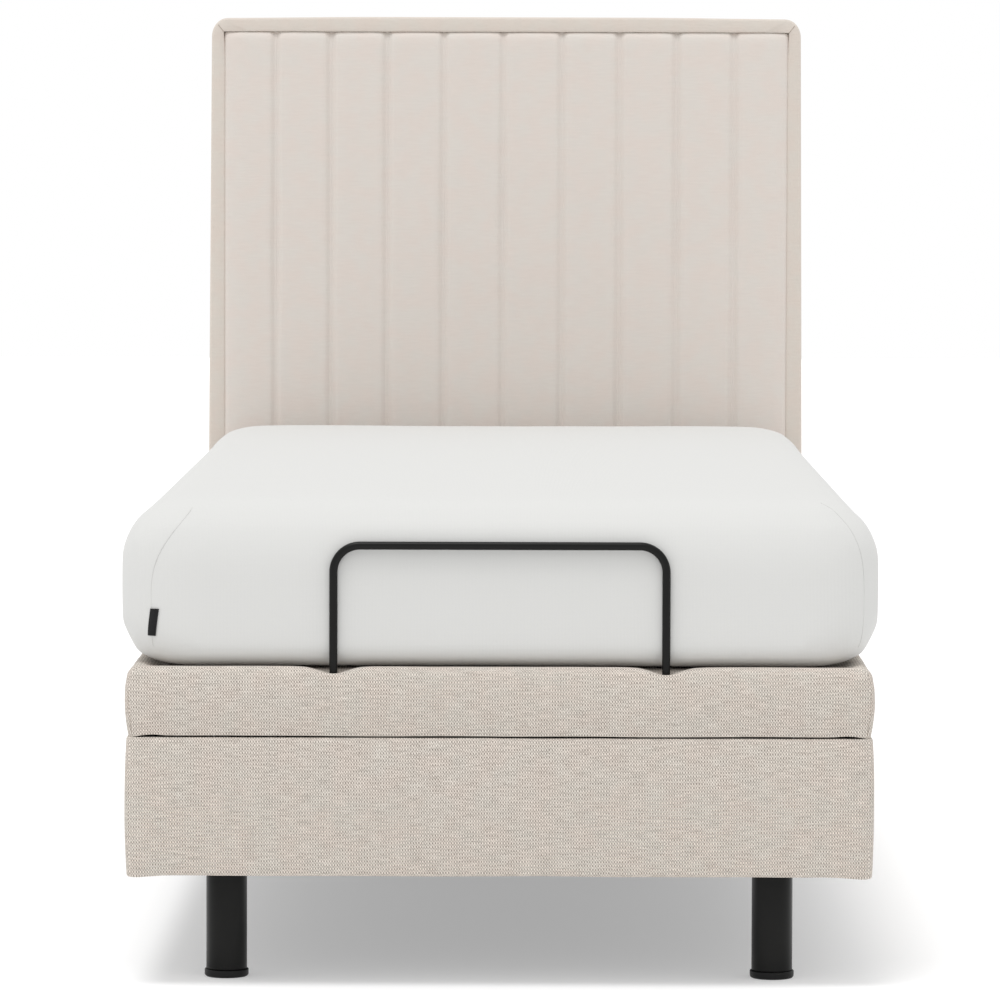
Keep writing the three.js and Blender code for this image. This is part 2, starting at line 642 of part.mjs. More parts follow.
function baseFrame() {
  const railEnds = [FOOT_Y + 30, HEAD_Y - 30];
  const rails = bothSides((side) => block(side([RAIL_INNER, RAIL_OUTER]), railEnds, [RAIL_BOTTOM, RAIL_TOP]));
  const tubeYs = [liftY(BACK_ARM, 1), liftY(LEG_ARM, -1)];
  const plates = tubeYs.flatMap((y) =>
    bothSides((side) => bearingPlate(y, side([RAIL_INNER - 12, RAIL_INNER + 1]))),
  );
  const ends = [FOOT_Y + 60, HEAD_Y - 60].map((y) => block([-410, 410], [y - 15, y + 15], [250, 285]));
  const rears = [
    { y: actuatorRear(BACK_ARM, 1, BACK_LIFT) - 14, x: BACK_ARM.x, side: -1 },
    { y: actuatorRear(LEG_ARM, -1, THIGH_LIFT) + 14, x: LEG_ARM.x, side: 1 },
  ];
  const crossbars = rears.map(({ y, side }) => {
    const span = side > 0 ? [y - 1, y + 23] : [y - 23, y + 1];
    return block([-410, 410], span, [258, 286]);
  });
  const tabs = rears.map(({ y, x, side }) => {
    const span = side > 0 ? [y, y + 8] : [y - 8, y];
    return block([x - 24, x + 24], span, [152, 262]);
  });
  const bearers = [FOOT_Y + LEG_INSET, HEAD_Y - LEG_INSET].flatMap((y) => [
    block([-RAIL_OUTER, RAIL_OUTER], [y - 35, y + 35], [LEG_HEIGHT + 4, LEG_HEIGHT + 9]),
    ...bothSides((side) => block(side([RAIL_INNER, RAIL_OUTER]), [y - 35, y + 35], [LEG_HEIGHT + 4, RAIL_TOP - 5])),
  ]);
  const railTop = HINGE_Z + FRAME_TOP;
  const railLow = HINGE_Z + FRAME_BOTTOM;
  const seatRails = bothSides((side) =>
    block(side(OUTER_LEAF), [THIGH_Y + 16, BACK_HINGE_Y - 16], [RAIL_TOP - 5, railTop]),
  );
  const seatCrosses = [THIGH_Y + 50, BACK_HINGE_Y - 50].map((y) =>
    block([-420, 420], [y - 12, y + 12], [railLow, railTop]),
  );
  const seatEyes = [
    { at: THIGH_Y, towards: 1 },
    { at: BACK_HINGE_Y, towards: -1 },
  ].flatMap(({ at, towards }) =>
    bothSides((side) => eye(at, towards, ...side(OUTER_LEAF)).map((part) => part.translate(0, 0, HINGE_Z))),
  );
  const tracks = bothSides((side) => skidTrack(side([405, 430])));
  const whole = join(
    ...rails,
    ...plates,
    ...ends,
    ...crossbars,
    ...tabs,
    ...bearers,
    ...seatRails,
    ...seatCrosses,
    ...seatEyes,
    ...tracks,
  );
  const bores = [
    ...tubeYs.map((y) => rodAcross(10 + GAP, -RAIL_INNER + 2, RAIL_INNER - 2, y, HINGE_Z - TUBE_DROP, 20)),
    ...[THIGH_Y, BACK_HINGE_Y].map((y) => rodAcross(HINGE_ROD_RADIUS + GAP, -440, 440, y, HINGE_Z, 20)),
  ];
  return mesh("base_frame", cut(whole, ...bores), "steel");
}

// ---- Box: four panels in a fabric sleeve, dust cover, legs with glides ----
function boxParts() {
  const half = BOX_WIDTH / 2 - FABRIC - GAP;
  const foot = FOOT_Y + FABRIC + GAP;
  const head = HEAD_Y - FABRIC - GAP;
  const z = [LEG_HEIGHT + 2, BOX_TOP - 2];
  const long = [foot + PANEL + GAP, head - PANEL - GAP];
  const ring = (inset, z0, z1) => {
    const side = BOX_WIDTH / 2 - inset;
    const corner = BOX_CORNER - inset;
    return planProfile(roundedRect(-side, side, FOOT_Y + inset, HEAD_Y - inset, corner, corner), z0, z1, 4);
  };
  const sleeve = cut(ring(0, LEG_HEIGHT, BOX_TOP), ring(FABRIC, LEG_HEIGHT - 5, BOX_TOP + 5));
  const endPanel = ([y0, y1]) =>
    common(block([-half, half], [y0, y1], z), ring(FABRIC + GAP, LEG_HEIGHT, BOX_TOP));
  const inside = half - PANEL - GAP;
  const lining = block([-inside, inside], [long[0], long[1]], [LEG_HEIGHT + 0.5, LEG_HEIGHT + 2]);
  const legHoles = legPlaces().map(({ x, y }) => rodUp(LEG_RADIUS + 1, LEG_HEIGHT - 5, LEG_HEIGHT + 9, x, y, 20));
  return [
    mesh("side_panel_left", block([-half, -half + PANEL], long, z), "board"),
    mesh("side_panel_right", block([half - PANEL, half], long, z), "board"),
    mesh("foot_panel", endPanel([foot, foot + PANEL]), "board"),
    mesh("head_panel", endPanel([head - PANEL, head]), "board"),
    mesh("box_cover", sleeve, "fabric"),
    mesh("dust_cover", cut(lining, ...legHoles), "lining"),
  ];
}

function legPlaces() {
  const places = [];
  for (const [end, y] of Object.entries({ foot: FOOT_Y + LEG_INSET, head: HEAD_Y - LEG_INSET })) {
    for (const [side, x] of Object.entries({ left: -LEG_X, right: LEG_X })) {
      places.push({ name: `${end}_${side}`, x, y });
    }
  }
  return places;
}

function legParts() {
  const rim = 4;
  const glideProfile = [
    [0, 0],
    [GLIDE_RADIUS - rim, 0],
    [GLIDE_RADIUS - 1.2, 1.2],
    [GLIDE_RADIUS, rim],
    [GLIDE_RADIUS, GLIDE_HEIGHT],
    [0, GLIDE_HEIGHT],
  ].map(([r, z]) => new THREE.Vector2(r, z));
  return legPlaces().flatMap(({ name, x, y }) => {
    const leg = rodUp(LEG_RADIUS, GLIDE_HEIGHT + GAP, LEG_HEIGHT + 4 - GAP, x, y, 24);
    const glide = new THREE.LatheGeometry(glideProfile, 24).rotateX(Math.PI / 2);
    return [
      mesh(`leg_${name}`, leg, "black"),
      mesh(`glide_${name}`, glide.translate(x, y, 0), "plastic"),
    ];
  });
}

// ---- Headboard ----
function headboardParts() {
  const half = HEADBOARD_WIDTH / 2;
  const back = BACK_Y;
  const front = HEADBOARD_Y;
  const inner = half - HEADBOARD_BORDER;
  const innerTop = HEADBOARD_TOP - HEADBOARD_BORDER;
  const boardDepth = [back - 22, back - 3];
  const border = cut(
    frontProfile(roundedRect(-half, half, LEG_HEIGHT, HEADBOARD_TOP, 0, HEADBOARD_CORNER), front + 4, back, 8),
    block([-inner, inner], [front - 5, back + 5], [LEG_HEIGHT + HEADBOARD_BORDER, innerTop]),
  );
  const fill = inner - GAP;
  const fillTop = innerTop - GAP;
  const board = block([-fill, fill], boardDepth, [LEG_HEIGHT + HEADBOARD_BORDER + GAP, fillTop]);
  const pad = block([-fill, fill], [front, boardDepth[0] - GAP], [HEADBOARD_PAD_BOTTOM, fillTop]);
  return [
    mesh("headboard_border", border, "fabric"),
    mesh("headboard_board", board, "board"),
    mesh("headboard_panel", pad, "fabric"),
  ];
}

// A channel-section steel bracket between the box and the headboard's board.
function headboardBrackets() {
  const y0 = HEAD_Y + GAP;
  const y1 = BACK_Y - 22 - GAP;
  const plate = 4;
  const channel = [
    [-30, y0],
    [30, y0],
    [30, y0 + plate],
    [-30 + plate, y0 + plate],
    [-30 + plate, y1 - plate],
    [30, y1 - plate],
    [30, y1],
    [-30, y1],
  ];
  return Object.entries({ left: -300, right: 300 }).map(([side, x]) => {
    const bracket = planProfile(shapeOf(channel), 170, 290).translate(x, 0, 0);
    return mesh(`headboard_bracket_${side}`, bracket, "steel");
  });
}

// ---- Control box and the two drive leads ----
const CONTROL = { x: [170, 320], y: [-5, 85], z: [302, HINGE_Z + DECK_BOTTOM - GAP] };

function controlBox() {
  const body = planProfile(roundedRect(...CONTROL.x, ...CONTROL.y, 8, 8), ...CONTROL.z, 3);
  const middle = (CONTROL.x[0] + CONTROL.x[1]) / 2;
  const inlet = block([middle - 14, middle + 14], [CONTROL.y[1] - 14, CONTROL.y[1] + 5], [314, 334]);
  return mesh("control_box", cut(body, inlet), "plastic");
}

function lead(name, points) {
  const path = new THREE.CatmullRomCurve3(points.map((p) => new THREE.Vector3(...p)));
  const section = new THREE.Shape().absarc(0, 0, 3, 0, Math.PI * 2);
  const tube = new THREE.ExtrudeGeometry(section, { steps: 16, extrudePath: path, curveSegments: 3 });
  return mesh(name, tube, "plastic");
}

function driveLeads() {
  const plugX = CONTROL.x[0] - GAP;
  const motorTop = HINGE_Z - TUBE_DROP - LEVER + 56 + GAP;
  const backMotorY = actuatorRear(BACK_ARM, 1, BACK_LIFT) + 40;
  const legMotorY = actuatorRear(LEG_ARM, -1, THIGH_LIFT) - 40;
  return [
    lead("back_drive_lead", [
      [BACK_ARM.x, backMotorY, motorTop],
      [BACK_ARM.x + 4, backMotorY, motorTop + 28],
      [BACK_ARM.x + 60, backMotorY + 12, 306],
      [plugX - 110, 14, 316],
      [plugX - 30, 16, 318],
      [plugX, 16, 318],
    ]),
    lead("leg_drive_lead", [
      [LEG_ARM.x, legMotorY, motorTop],
      [LEG_ARM.x, legMotorY - 2, motorTop + 30],
      [LEG_ARM.x + 12, legMotorY - 20, 312],
      [plugX - 26, 58, 318],
      [plugX, 58, 318],
    ]),
  ];
}

// ---- The whole bed ----
function seatParts() {
  const group = new THREE.Group();
  group.position.set(0, 0, HINGE_Z);
  group.add(...upholstery("seat", thighEnd, backEnd));
  group.add(hingeRod("thigh_hinge_rod", THIGH_Y), hingeRod("back_hinge_rod", BACK_HINGE_Y));
  group.add(mattressPiece("mattress_seat", thighEnd, backEnd, 0));
  return group;
}

const bed = new THREE.Group();
bed.add(baseFrame(), ...boxParts(), ...legParts());
bed.add(...headboardParts(), ...headboardBrackets());
bed.add(controlBox(), ...driveLeads());
bed.add(seatParts(), backSection(), thighSection());
bed.add(liftFrame("back", BACK_ARM, 1, BACK_LIFT), liftFrame("leg", LEG_ARM, -1, THIGH_LIFT));
bed.add(actuator("back", BACK_ARM, 1, BACK_LIFT), actuator("leg", LEG_ARM, -1, THIGH_LIFT));
bed.add(mesh("mattress_fold_back", mattressFold(mattress, BACK_HINGE_Y, BACK_LIFT / 2), "mattress"));
bed.add(mesh("mattress_fold_thigh", mattressFold(mattress, THIGH_Y, THIGH_LIFT / 2), "mattress"));

export default bed;
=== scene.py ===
# Looks for an adjustable bed: upholstered box base and platform, mattress with its retainer bar,
# channelled headboard, black legs, and the steel lifting gear inside.
# Metres, +Z up, +Y towards the headboard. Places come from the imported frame.
import json
import math

import bpy
import numpy as np
from mathutils import Matrix, Vector, noise
from mathutils.bvhtree import BVHTree


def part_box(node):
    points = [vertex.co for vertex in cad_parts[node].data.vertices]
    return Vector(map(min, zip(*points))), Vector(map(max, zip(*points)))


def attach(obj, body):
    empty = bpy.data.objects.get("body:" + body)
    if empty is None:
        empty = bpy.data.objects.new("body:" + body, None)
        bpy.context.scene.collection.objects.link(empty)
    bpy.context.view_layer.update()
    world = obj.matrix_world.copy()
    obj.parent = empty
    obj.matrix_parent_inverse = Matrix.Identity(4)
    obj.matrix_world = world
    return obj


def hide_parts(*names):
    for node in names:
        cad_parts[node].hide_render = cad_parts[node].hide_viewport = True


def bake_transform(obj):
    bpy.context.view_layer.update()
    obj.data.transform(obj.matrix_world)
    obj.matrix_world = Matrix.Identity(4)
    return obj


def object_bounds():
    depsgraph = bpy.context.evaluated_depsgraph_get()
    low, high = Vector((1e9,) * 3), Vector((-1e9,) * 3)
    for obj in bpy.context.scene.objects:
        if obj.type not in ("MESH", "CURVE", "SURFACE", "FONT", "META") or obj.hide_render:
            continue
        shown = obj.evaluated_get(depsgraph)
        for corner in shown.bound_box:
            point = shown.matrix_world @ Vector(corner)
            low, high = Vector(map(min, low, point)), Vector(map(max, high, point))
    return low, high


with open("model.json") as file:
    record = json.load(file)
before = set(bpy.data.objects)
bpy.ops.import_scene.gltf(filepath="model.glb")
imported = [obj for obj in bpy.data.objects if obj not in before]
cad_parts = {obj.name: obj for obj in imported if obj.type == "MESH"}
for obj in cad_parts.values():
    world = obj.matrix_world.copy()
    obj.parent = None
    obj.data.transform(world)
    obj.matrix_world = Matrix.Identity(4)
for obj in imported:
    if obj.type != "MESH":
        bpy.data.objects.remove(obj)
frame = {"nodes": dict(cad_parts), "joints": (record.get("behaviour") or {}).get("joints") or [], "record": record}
cad_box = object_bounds()
bpy.ops.object.select_all(action="DESELECT")

MM = 0.001
SCENE = bpy.context.scene


# ---- Shader maths ----
class Value:
    """A shader socket that takes part in Python arithmetic."""

    def __init__(self, material, socket):
        self.material = material
        self.socket = socket

    def _math(self, operation, *operands, clamp=False):
        node = self.material.nodes.new("ShaderNodeMath")
        node.operation = operation
        node.use_clamp = clamp
        for index, operand in enumerate(operands):
            self.material.feed(node.inputs[index], operand)
        return Value(self.material, node.outputs[0])

    def __add__(self, other):
        return self._math("ADD", self, other)

    __radd__ = __add__

    def __sub__(self, other):
        return self._math("SUBTRACT", self, other)

    def __rsub__(self, other):
        return self._math("SUBTRACT", other, self)

    def __mul__(self, other):
        return self._math("MULTIPLY", self, other)

    __rmul__ = __mul__

    def __truediv__(self, other):
        return self._math("DIVIDE", self, other)

    def clamped(self):
        return self._math("ADD", self, 0.0, clamp=True)

    def wave(self):
        return self._math("SINE", self)

    def smoothed(self, low, high):
        node = self.material.nodes.new("ShaderNodeMapRange")
        node.interpolation_type = "SMOOTHSTEP"
        self.material.feed(node.inputs["Value"], self)
        node.inputs["From Min"].default_value = low
        node.inputs["From Max"].default_value = high
        return Value(self.material, node.outputs["Result"])


class Material:
    """A material whose nodes are made by one method."""

    def __init__(self, name, **constants):
        self.data = bpy.data.materials.new(name)
        self.data.use_nodes = True
        self.nodes = self.data.node_tree.nodes
        self.links = self.data.node_tree.links
        self.shader = self.nodes["Principled BSDF"]
        for socket, value in constants.items():
            self.shader.inputs[socket.replace("_", " ")].default_value = value

    def feed(self, socket, value):
        if isinstance(value, Value):
            self.links.new(value.socket, socket)
        else:
            socket.default_value = value

    def node(self, kind, settings=None, output=0, **inputs):
        made = self.nodes.new(kind)
        for key, value in (settings or {}).items():
            setattr(made, key, value)
        for key, value in inputs.items():
            self.feed(made.inputs[key.replace("_", " ")], value)
        return Value(self, made.outputs[output])

    def stretched(self, vector, scale):
        return self.node("ShaderNodeMapping", Vector=vector, Scale=scale)

    def place(self, scale=(1, 1, 1)):
        """Object coordinates, stretched."""
        return self.stretched(self.node("ShaderNodeTexCoord", output="Object"), scale)

    def cloth_place(self):
        """The piece's own flat cloth coordinates, in metres."""
        return self.node("ShaderNodeUVMap", {"uv_map": "cloth"})

    def parts(self, vector):
        node = self.nodes.new("ShaderNodeSeparateXYZ")
        self.feed(node.inputs[0], vector)
        return [Value(self, output) for output in node.outputs]

    def noise(self, vector, scale, detail=2.0, roughness=0.5):
        return self.node(
            "ShaderNodeTexNoise",
            output="Fac",
            Vector=vector,
            Scale=scale,
            Detail=detail,
            Roughness=roughness,
        )

    def mix(self, share, low, high, way="MIX"):
        """Two colours, mixed. Sockets 0, 6, 7 and 2 are the colour ones of this node."""
        node = self.nodes.new("ShaderNodeMix")
        node.data_type = "RGBA"
        node.blend_type = way
        self.feed(node.inputs[0], share)
        self.feed(node.inputs[6], low)
        self.feed(node.inputs[7], high)
        return Value(self, node.outputs[2])

    def bump(self, height, strength, distance):
        return self.node(
            "ShaderNodeBump",
            output="Normal",
            Height=height,
            Strength=strength,
            Distance=distance,
        )

    def surface(self, **values):
        for socket, value in values.items():
            self.feed(self.shader.inputs[socket.replace("_", " ")], value)
        return self.data


def tone(red, green, blue):
    """A linear colour from display values of 0 to 255."""
    def linear(part):
        share = part / 255
        return share / 12.92 if share <= 0.04045 else ((share + 0.055) / 1.055) ** 2.4

    return (linear(red), linear(green), linear(blue), 1.0)


# ---- Materials ----
WEAVE_ACROSS = 3.28 * MM  # one repeat of the basket weave
WEAVE_ALONG = 4.53 * MM


def tweed(name, light, dark, weave_share, fibre_share, bump):
    """A staggered basket weave in mixed yarns, on the cloth's own map."""
    made = Material(name, Specular_IOR_Level=0.2, Sheen_Weight=0.05, Sheen_Roughness=0.6)
    cloth = made.cloth_place()
    across, along, _ = made.parts(cloth)
    column = across / WEAVE_ACROSS + made.noise(cloth, 60.0, 2.0) * 0.6
    row = along / WEAVE_ALONG + made.noise(cloth, 48.0, 1.0) * 0.35
    rising = ((column + row) * math.tau).wave()
    falling = ((column - row) * math.tau).wave()
    upright = (column * math.tau).wave()
    plain = rising * 0.32 + falling * 0.26 + upright * 0.18
    weave = plain * (made.noise(cloth, 290.0, 1.0) * 1.6 + 0.2)
    fibre = made.noise(cloth, 520.0, 3.0, 0.65) - 0.5
    slub = made.noise(made.stretched(cloth, (45.0, 420.0, 1.0)), 1.0, 3.0, 0.6) - 0.5
    shade = weave * weave_share + (fibre * 1.1 + slub * 0.7) * fibre_share + 0.5
    colour = made.mix(shade.clamped(), dark, light)
    patches = made.noise(cloth, 30.0, 2.0, 0.5).smoothed(0.3, 0.7)
    tint = made.mix(patches, (1.0, 0.98, 0.975, 1.0), (0.982, 0.998, 1.0, 1.0))
    return made.surface(
        Base_Color=made.mix(1.0, colour, tint, "MULTIPLY"),
        Roughness=0.88 + fibre * 0.1,
        Normal=made.bump(weave * 0.5 + fibre * 0.6, bump, 0.5 * MM),
    )


def mattress_cloth():
    """Fine white knit."""
    made = Material("mattress_knit", Specular_IOR_Level=0.2, Sheen_Weight=0.1, Sheen_Roughness=0.5)
    cloth = made.cloth_place()
    across, along, _ = made.parts(cloth)
    wander = made.noise(cloth, 30.0, 2.0)
    rib = ((across / (1.7 * MM) + wander * 0.5) * math.tau).wave()
    course = ((along / (1.5 * MM)) * math.tau).wave()
    knit = rib * 0.5 + course * 0.35
    fibre = made.noise(cloth, 1100.0, 3.0, 0.6)
    shade = (knit * 0.18 + (fibre - 0.5) * 0.7 + 0.55).clamped()
    soft = made.noise(cloth, 9.0, 3.0, 0.55)
    colour = made.mix(shade, tone(201, 201, 199), tone(215, 215, 213))
    return made.surface(
        Base_Color=colour,
        Roughness=0.84 + fibre * 0.1,
        Normal=made.bump(knit * 0.5 + fibre * 0.4 + soft * 0.5, 0.25, 0.35 * MM),
    )


def powder_coat(name, colour, rough, gloss):
    """Painted steel with a fine orange peel and faint smudges."""
    made = Material(name, Specular_IOR_Level=gloss)
    where = made.place()
    orange_peel = made.noise(where, 1400.0, 2.0)
    smudge = made.noise(where, 14.0, 3.0, 0.6)
    darker = tuple(part * 0.8 for part in colour[:3]) + (1.0,)
    return made.surface(
        Base_Color=made.mix(smudge.smoothed(0.3, 0.7), darker, colour),
        Roughness=rough + (smudge - 0.5) * 0.12,
        Normal=made.bump(orange_peel, 0.12, 0.1 * MM),
    )


def zinc_plate():
    """Bright plated steel, faintly streaked along its length."""
    made = Material("zinc_plate", Specular_IOR_Level=0.5)
    where = made.place((40.0, 400.0, 400.0))
    streak = made.noise(where, 3.0, 3.0, 0.6)
    bloom = made.noise(made.place(), 60.0, 3.0, 0.6)
    return made.surface(
        Base_Color=made.mix(bloom.smoothed(0.35, 0.65), tone(168, 170, 172), tone(196, 197, 196)),
        Metallic=0.95,
        Roughness=0.3 + streak * 0.12,
        Normal=made.bump(streak, 0.1, 0.05 * MM),
    )


def plywood(name, squeeze):
    """Pale birch veneer. The squeeze is small along the grain and large across it."""
    made = Material(name, Specular_IOR_Level=0.3)
    where = made.place(squeeze)
    broad = made.noise(where, 1.0, 2.0, 0.5)
    streak = made.noise(made.stretched(where, (9.0, 9.0, 9.0)), 1.0, 4.0, 0.65)
    pore = made.noise(made.stretched(where, (40.0, 40.0, 40.0)), 1.0, 2.0, 0.6)
    shade = (broad * 0.5 + streak * 0.6 + pore * 0.3 - 0.2).clamped()
    return made.surface(
        Base_Color=made.mix(shade, tone(188, 158, 120), tone(221, 198, 162)),
        Roughness=0.6 + pore * 0.2,
        Normal=made.bump(streak * 0.5 + pore, 0.15, 0.15 * MM),
    )


def lining_felt(name, colour):
    """Dark non-woven cloth. The colour is in display values."""
    made = Material(name, Specular_IOR_Level=0.2, Sheen_Weight=0.15)
    where = made.place()
    fibre = made.noise(where, 700.0, 4.0, 0.7)
    blotch = made.noise(where, 25.0, 3.0, 0.6)
    low = tone(*(part * 0.75 for part in colour))
    high = tone(*(part * 1.35 for part in colour))
    return made.surface(
        Base_Color=made.mix((fibre * 0.7 + blotch * 0.3).smoothed(0.3, 0.7), low, high),
        Roughness=0.9 + fibre * 0.08,
        Normal=made.bump(fibre, 0.4, 0.3 * MM),
    )


def moulded(name, colour, rough, gloss=0.5):
    """Plain plastic or thread with a fine grain."""
    made = Material(name, Specular_IOR_Level=gloss)
    where = made.place()
    grain = made.noise(where, 1600.0, 2.0, 0.5)
    worn = made.noise(where, 22.0, 3.0, 0.6)
    lighter = tuple(min(1.0, part * 1.25 + 0.003) for part in colour[:3]) + (1.0,)
    return made.surface(
        Base_Color=made.mix(worn.smoothed(0.35, 0.75), colour, lighter),
        Roughness=rough + (worn - 0.5) * 0.12,
        Normal=made.bump(grain, 0.15, 0.1 * MM),
    )


def open_foam():
    """Pale yellow foam with open cells."""
    made = Material("open_foam", Specular_IOR_Level=0.2)
    where = made.place()
    cells = made.node("ShaderNodeTexVoronoi", Vector=where, Scale=600.0, output="Distance")
    return made.surface(
        Base_Color=made.mix(cells.smoothed(0.1, 0.7), tone(196, 176, 120), tone(232, 216, 168)),
        Roughness=0.92 + cells * 0.05,
        Normal=made.bump(cells, 0.4, 0.4 * MM),
    )


BASE_TWEED = tweed("base_tweed", tone(238, 229, 219), tone(124, 116, 108), 0.72, 1.0, 0.35)
PANEL_TWEED = tweed("headboard_tweed", tone(224, 217, 210), tone(206, 197, 190), 0.12, 0.8, 0.12)
BORDER_TWEED = tweed("border_tweed", tone(221, 213, 204), tone(200, 190, 181), 0.15, 0.9, 0.15)
KNIT = mattress_cloth()
BLACK = powder_coat("satin_black", tone(22, 22, 21), rough=0.34, gloss=0.16)
FRAME_COAT = powder_coat("frame_coat", tone(72, 75, 79), rough=0.48, gloss=0.5)
ZINC = zinc_plate()
PLY = plywood("plywood", (14.0, 0.7, 14.0))
UPRIGHT_PLY = plywood("upright_plywood", (14.0, 14.0, 0.7))
FELT = lining_felt("lining_felt", (26, 26, 27))
NYLON = moulded("nylon", tone(226, 224, 214), 0.45)
PLASTIC = moulded("black_plastic", tone(38, 39, 41), 0.5)
GLIDE = moulded("glide_plastic", tone(20, 20, 20), 0.42, 0.2)
FOAM = open_foam()
TAG = lining_felt("tag_ribbon", (24, 24, 25))
SHADE_THREAD = moulded("sewing_thread", tone(150, 139, 128), 0.85, 0.1)
# Mattress seam thread: its own colour, set a little darker than the knit so that it also paints the shadow line
# along the seam.
SEAM_THREAD_AND_SHADE = moulded("white_thread", tone(196, 196, 194), 0.85, 0.1)

SLOT_MATERIALS = {
    "mattress_fabric": KNIT,
    "base_fabric": BASE_TWEED,
    "headboard_fabric": PANEL_TWEED,
    "foam": FOAM,
    "wood_board": PLY,
    "lining": FELT,
    "black_metal": BLACK,
    "glide_plastic": GLIDE,
    "nylon": NYLON,
    "black_plastic": PLASTIC,
    "bright_steel": ZINC,
    "frame_steel": FRAME_COAT,
}


def dress_frame_nodes():
    """Every carried-over CAD node gets its slot's material."""
    for row in frame["record"]["subparts"]:
        node = frame["nodes"][row["node"]]
        node.data.materials.clear()
        node.data.materials.append(SLOT_MATERIALS[row["material_slot"]])
    frame["nodes"]["headboard_board"].data.materials[0] = UPRIGHT_PLY


# ---- Mesh helpers ----
def only(obj):
    """Makes a piece the one that operators work on."""
    bpy.ops.object.select_all(action="DESELECT")
    obj.select_set(True)
    bpy.context.view_layer.objects.active = obj


def add_block(name, low, high):
    """A box between two corners, ready for edit mode."""
    bpy.ops.object.select_all(action="DESELECT")
    centre = (Vector(low) + Vector(high)) / 2
    bpy.ops.mesh.primitive_cube_add(size=1.0, location=centre)
    obj = bpy.context.active_object
    obj.name = name
    obj.data.name = name
    obj.scale = Vector(high) - Vector(low)
    bpy.ops.object.transform_apply(location=True, rotation=True, scale=True)
    return obj


def apply_modifier(obj, kind, **settings):
    only(obj)
    modifier = obj.modifiers.new(kind.title(), kind)
    for key, value in settings.items():
        setattr(modifier, key, value)
    bpy.ops.object.modifier_apply(modifier=modifier.name)
    return obj


def select_edges(obj, test):
    """Selects the edges whose two end points pass the test, in edit mode."""
    bpy.ops.object.mode_set(mode="EDIT")
    bpy.ops.mesh.select_mode(type="EDGE")
    bpy.ops.mesh.select_all(action="DESELECT")
    bpy.ops.object.mode_set(mode="OBJECT")
    points = obj.data.vertices
    for edge in obj.data.edges:
        a, b = (points[i].co for i in edge.vertices)
        edge.select = bool(test(a, b))
    bpy.ops.object.mode_set(mode="EDIT")


def delete_faces(obj, test, rim=0.0):
    """Removes the faces that pass the test, but for a rim of a width round them."""
    only(obj)
    bpy.ops.object.mode_set(mode="EDIT")
    bpy.ops.mesh.select_mode(type="FACE")
    bpy.ops.mesh.select_all(action="DESELECT")
    bpy.ops.object.mode_set(mode="OBJECT")
    for face in obj.data.polygons:
        face.select = bool(test(face))
    bpy.ops.object.mode_set(mode="EDIT")
    if rim:
        bpy.ops.mesh.inset(thickness=rim)
    bpy.ops.mesh.delete(type="FACE")
    bpy.ops.object.mode_set(mode="OBJECT")


def bevel_edges(obj, test, width, segments):
    """Rounds the edges whose two end points pass the test."""
    only(obj)
    select_edges(obj, test)
    bpy.ops.mesh.bevel(offset=width, segments=segments, profile=0.5)
    bpy.ops.object.mode_set(mode="OBJECT")


def slice_mesh(obj, axis, places):
    """Cuts new edge loops through a mesh where it crosses each place along an axis."""
    only(obj)
    normal = [0.0, 0.0, 0.0]
    normal[axis] = 1.0
    bpy.ops.object.mode_set(mode="EDIT")
    for place in places:
        point = [0.0, 0.0, 0.0]
        point[axis] = place
        bpy.ops.mesh.select_all(action="SELECT")
        bpy.ops.mesh.bisect(plane_co=point, plane_no=normal, use_fill=False)
    bpy.ops.object.mode_set(mode="OBJECT")


def steps_between(low, high, largest):
    """Even places between two ends, no further apart than the largest step."""
    count = max(1, math.ceil((high - low) / largest))
    return [low + (high - low) * i / count for i in range(1, count)]


def read_all(items, field, kind=float, width=1):
    """One attribute of every item of a mesh, with a row for each item if it is wider than one."""
    values = np.empty(len(items) * width, dtype=kind)
    items.foreach_get(field, values)
    return values.reshape(-1, width) if width > 1 else values


def points_of(obj):
    return read_all(obj.data.vertices, "co", width=3)


def set_points(obj, points):
    obj.data.vertices.foreach_set("co", np.asarray(points, dtype=float).ravel())
    obj.data.update()


def smooth(obj, degrees):
    """Smooth shading, with a hard line where faces meet at more than an angle."""
    only(obj)
    bpy.ops.object.shade_smooth_by_angle(angle=math.radians(degrees), keep_sharp_edges=False)
    return obj


def map_cloth(obj):
    """A flat map in metres on each face, seen along the axis that the face points along most."""
    mesh = obj.data
    layer = mesh.uv_layers.get("cloth") or mesh.uv_layers.new(name="cloth")
    mesh.uv_layers.active = layer
    layer.active_render = True
    normals = np.abs(read_all(mesh.polygons, "normal", width=3))
    counts = read_all(mesh.polygons, "loop_total", int)
    facing = np.repeat(np.argmax(normals, axis=1), counts)
    place = points_of(obj)[read_all(mesh.loops, "vertex_index", int)]
    across = np.where(facing == 0, place[:, 1], place[:, 0])
    along = np.where(facing == 2, place[:, 1], place[:, 2])
    layer.data.foreach_set("uv", np.stack([across, along], axis=1).ravel())
    return obj


def finish_piece(obj, material, body=None, replaced=()):
    """Gives a piece its material, the body it rides on and the CAD nodes it replaces."""
    obj.data.materials.clear()
    obj.data.materials.append(material)
    if body:
        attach(obj, body)
    if replaced:
        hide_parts(*replaced)
    return obj


def round_rods(name, runs, radius, resolution):
    """Round rods along runs of points, joined in one mesh."""
    data = bpy.data.curves.new(name, "CURVE")
    data.dimensions = "3D"
    data.bevel_depth = radius
    data.bevel_resolution = resolution
    data.use_fill_caps = True
    for run in runs:
        spline = data.splines.new("POLY")
        spline.points.add(len(run) - 1)
        for point, place in zip(spline.points, run):
            point.co = (*place, 1.0)
    obj = bpy.data.objects.new(name, data)
    SCENE.collection.objects.link(obj)
    only(obj)
    bpy.ops.object.convert(target="MESH")
    return bpy.context.active_object


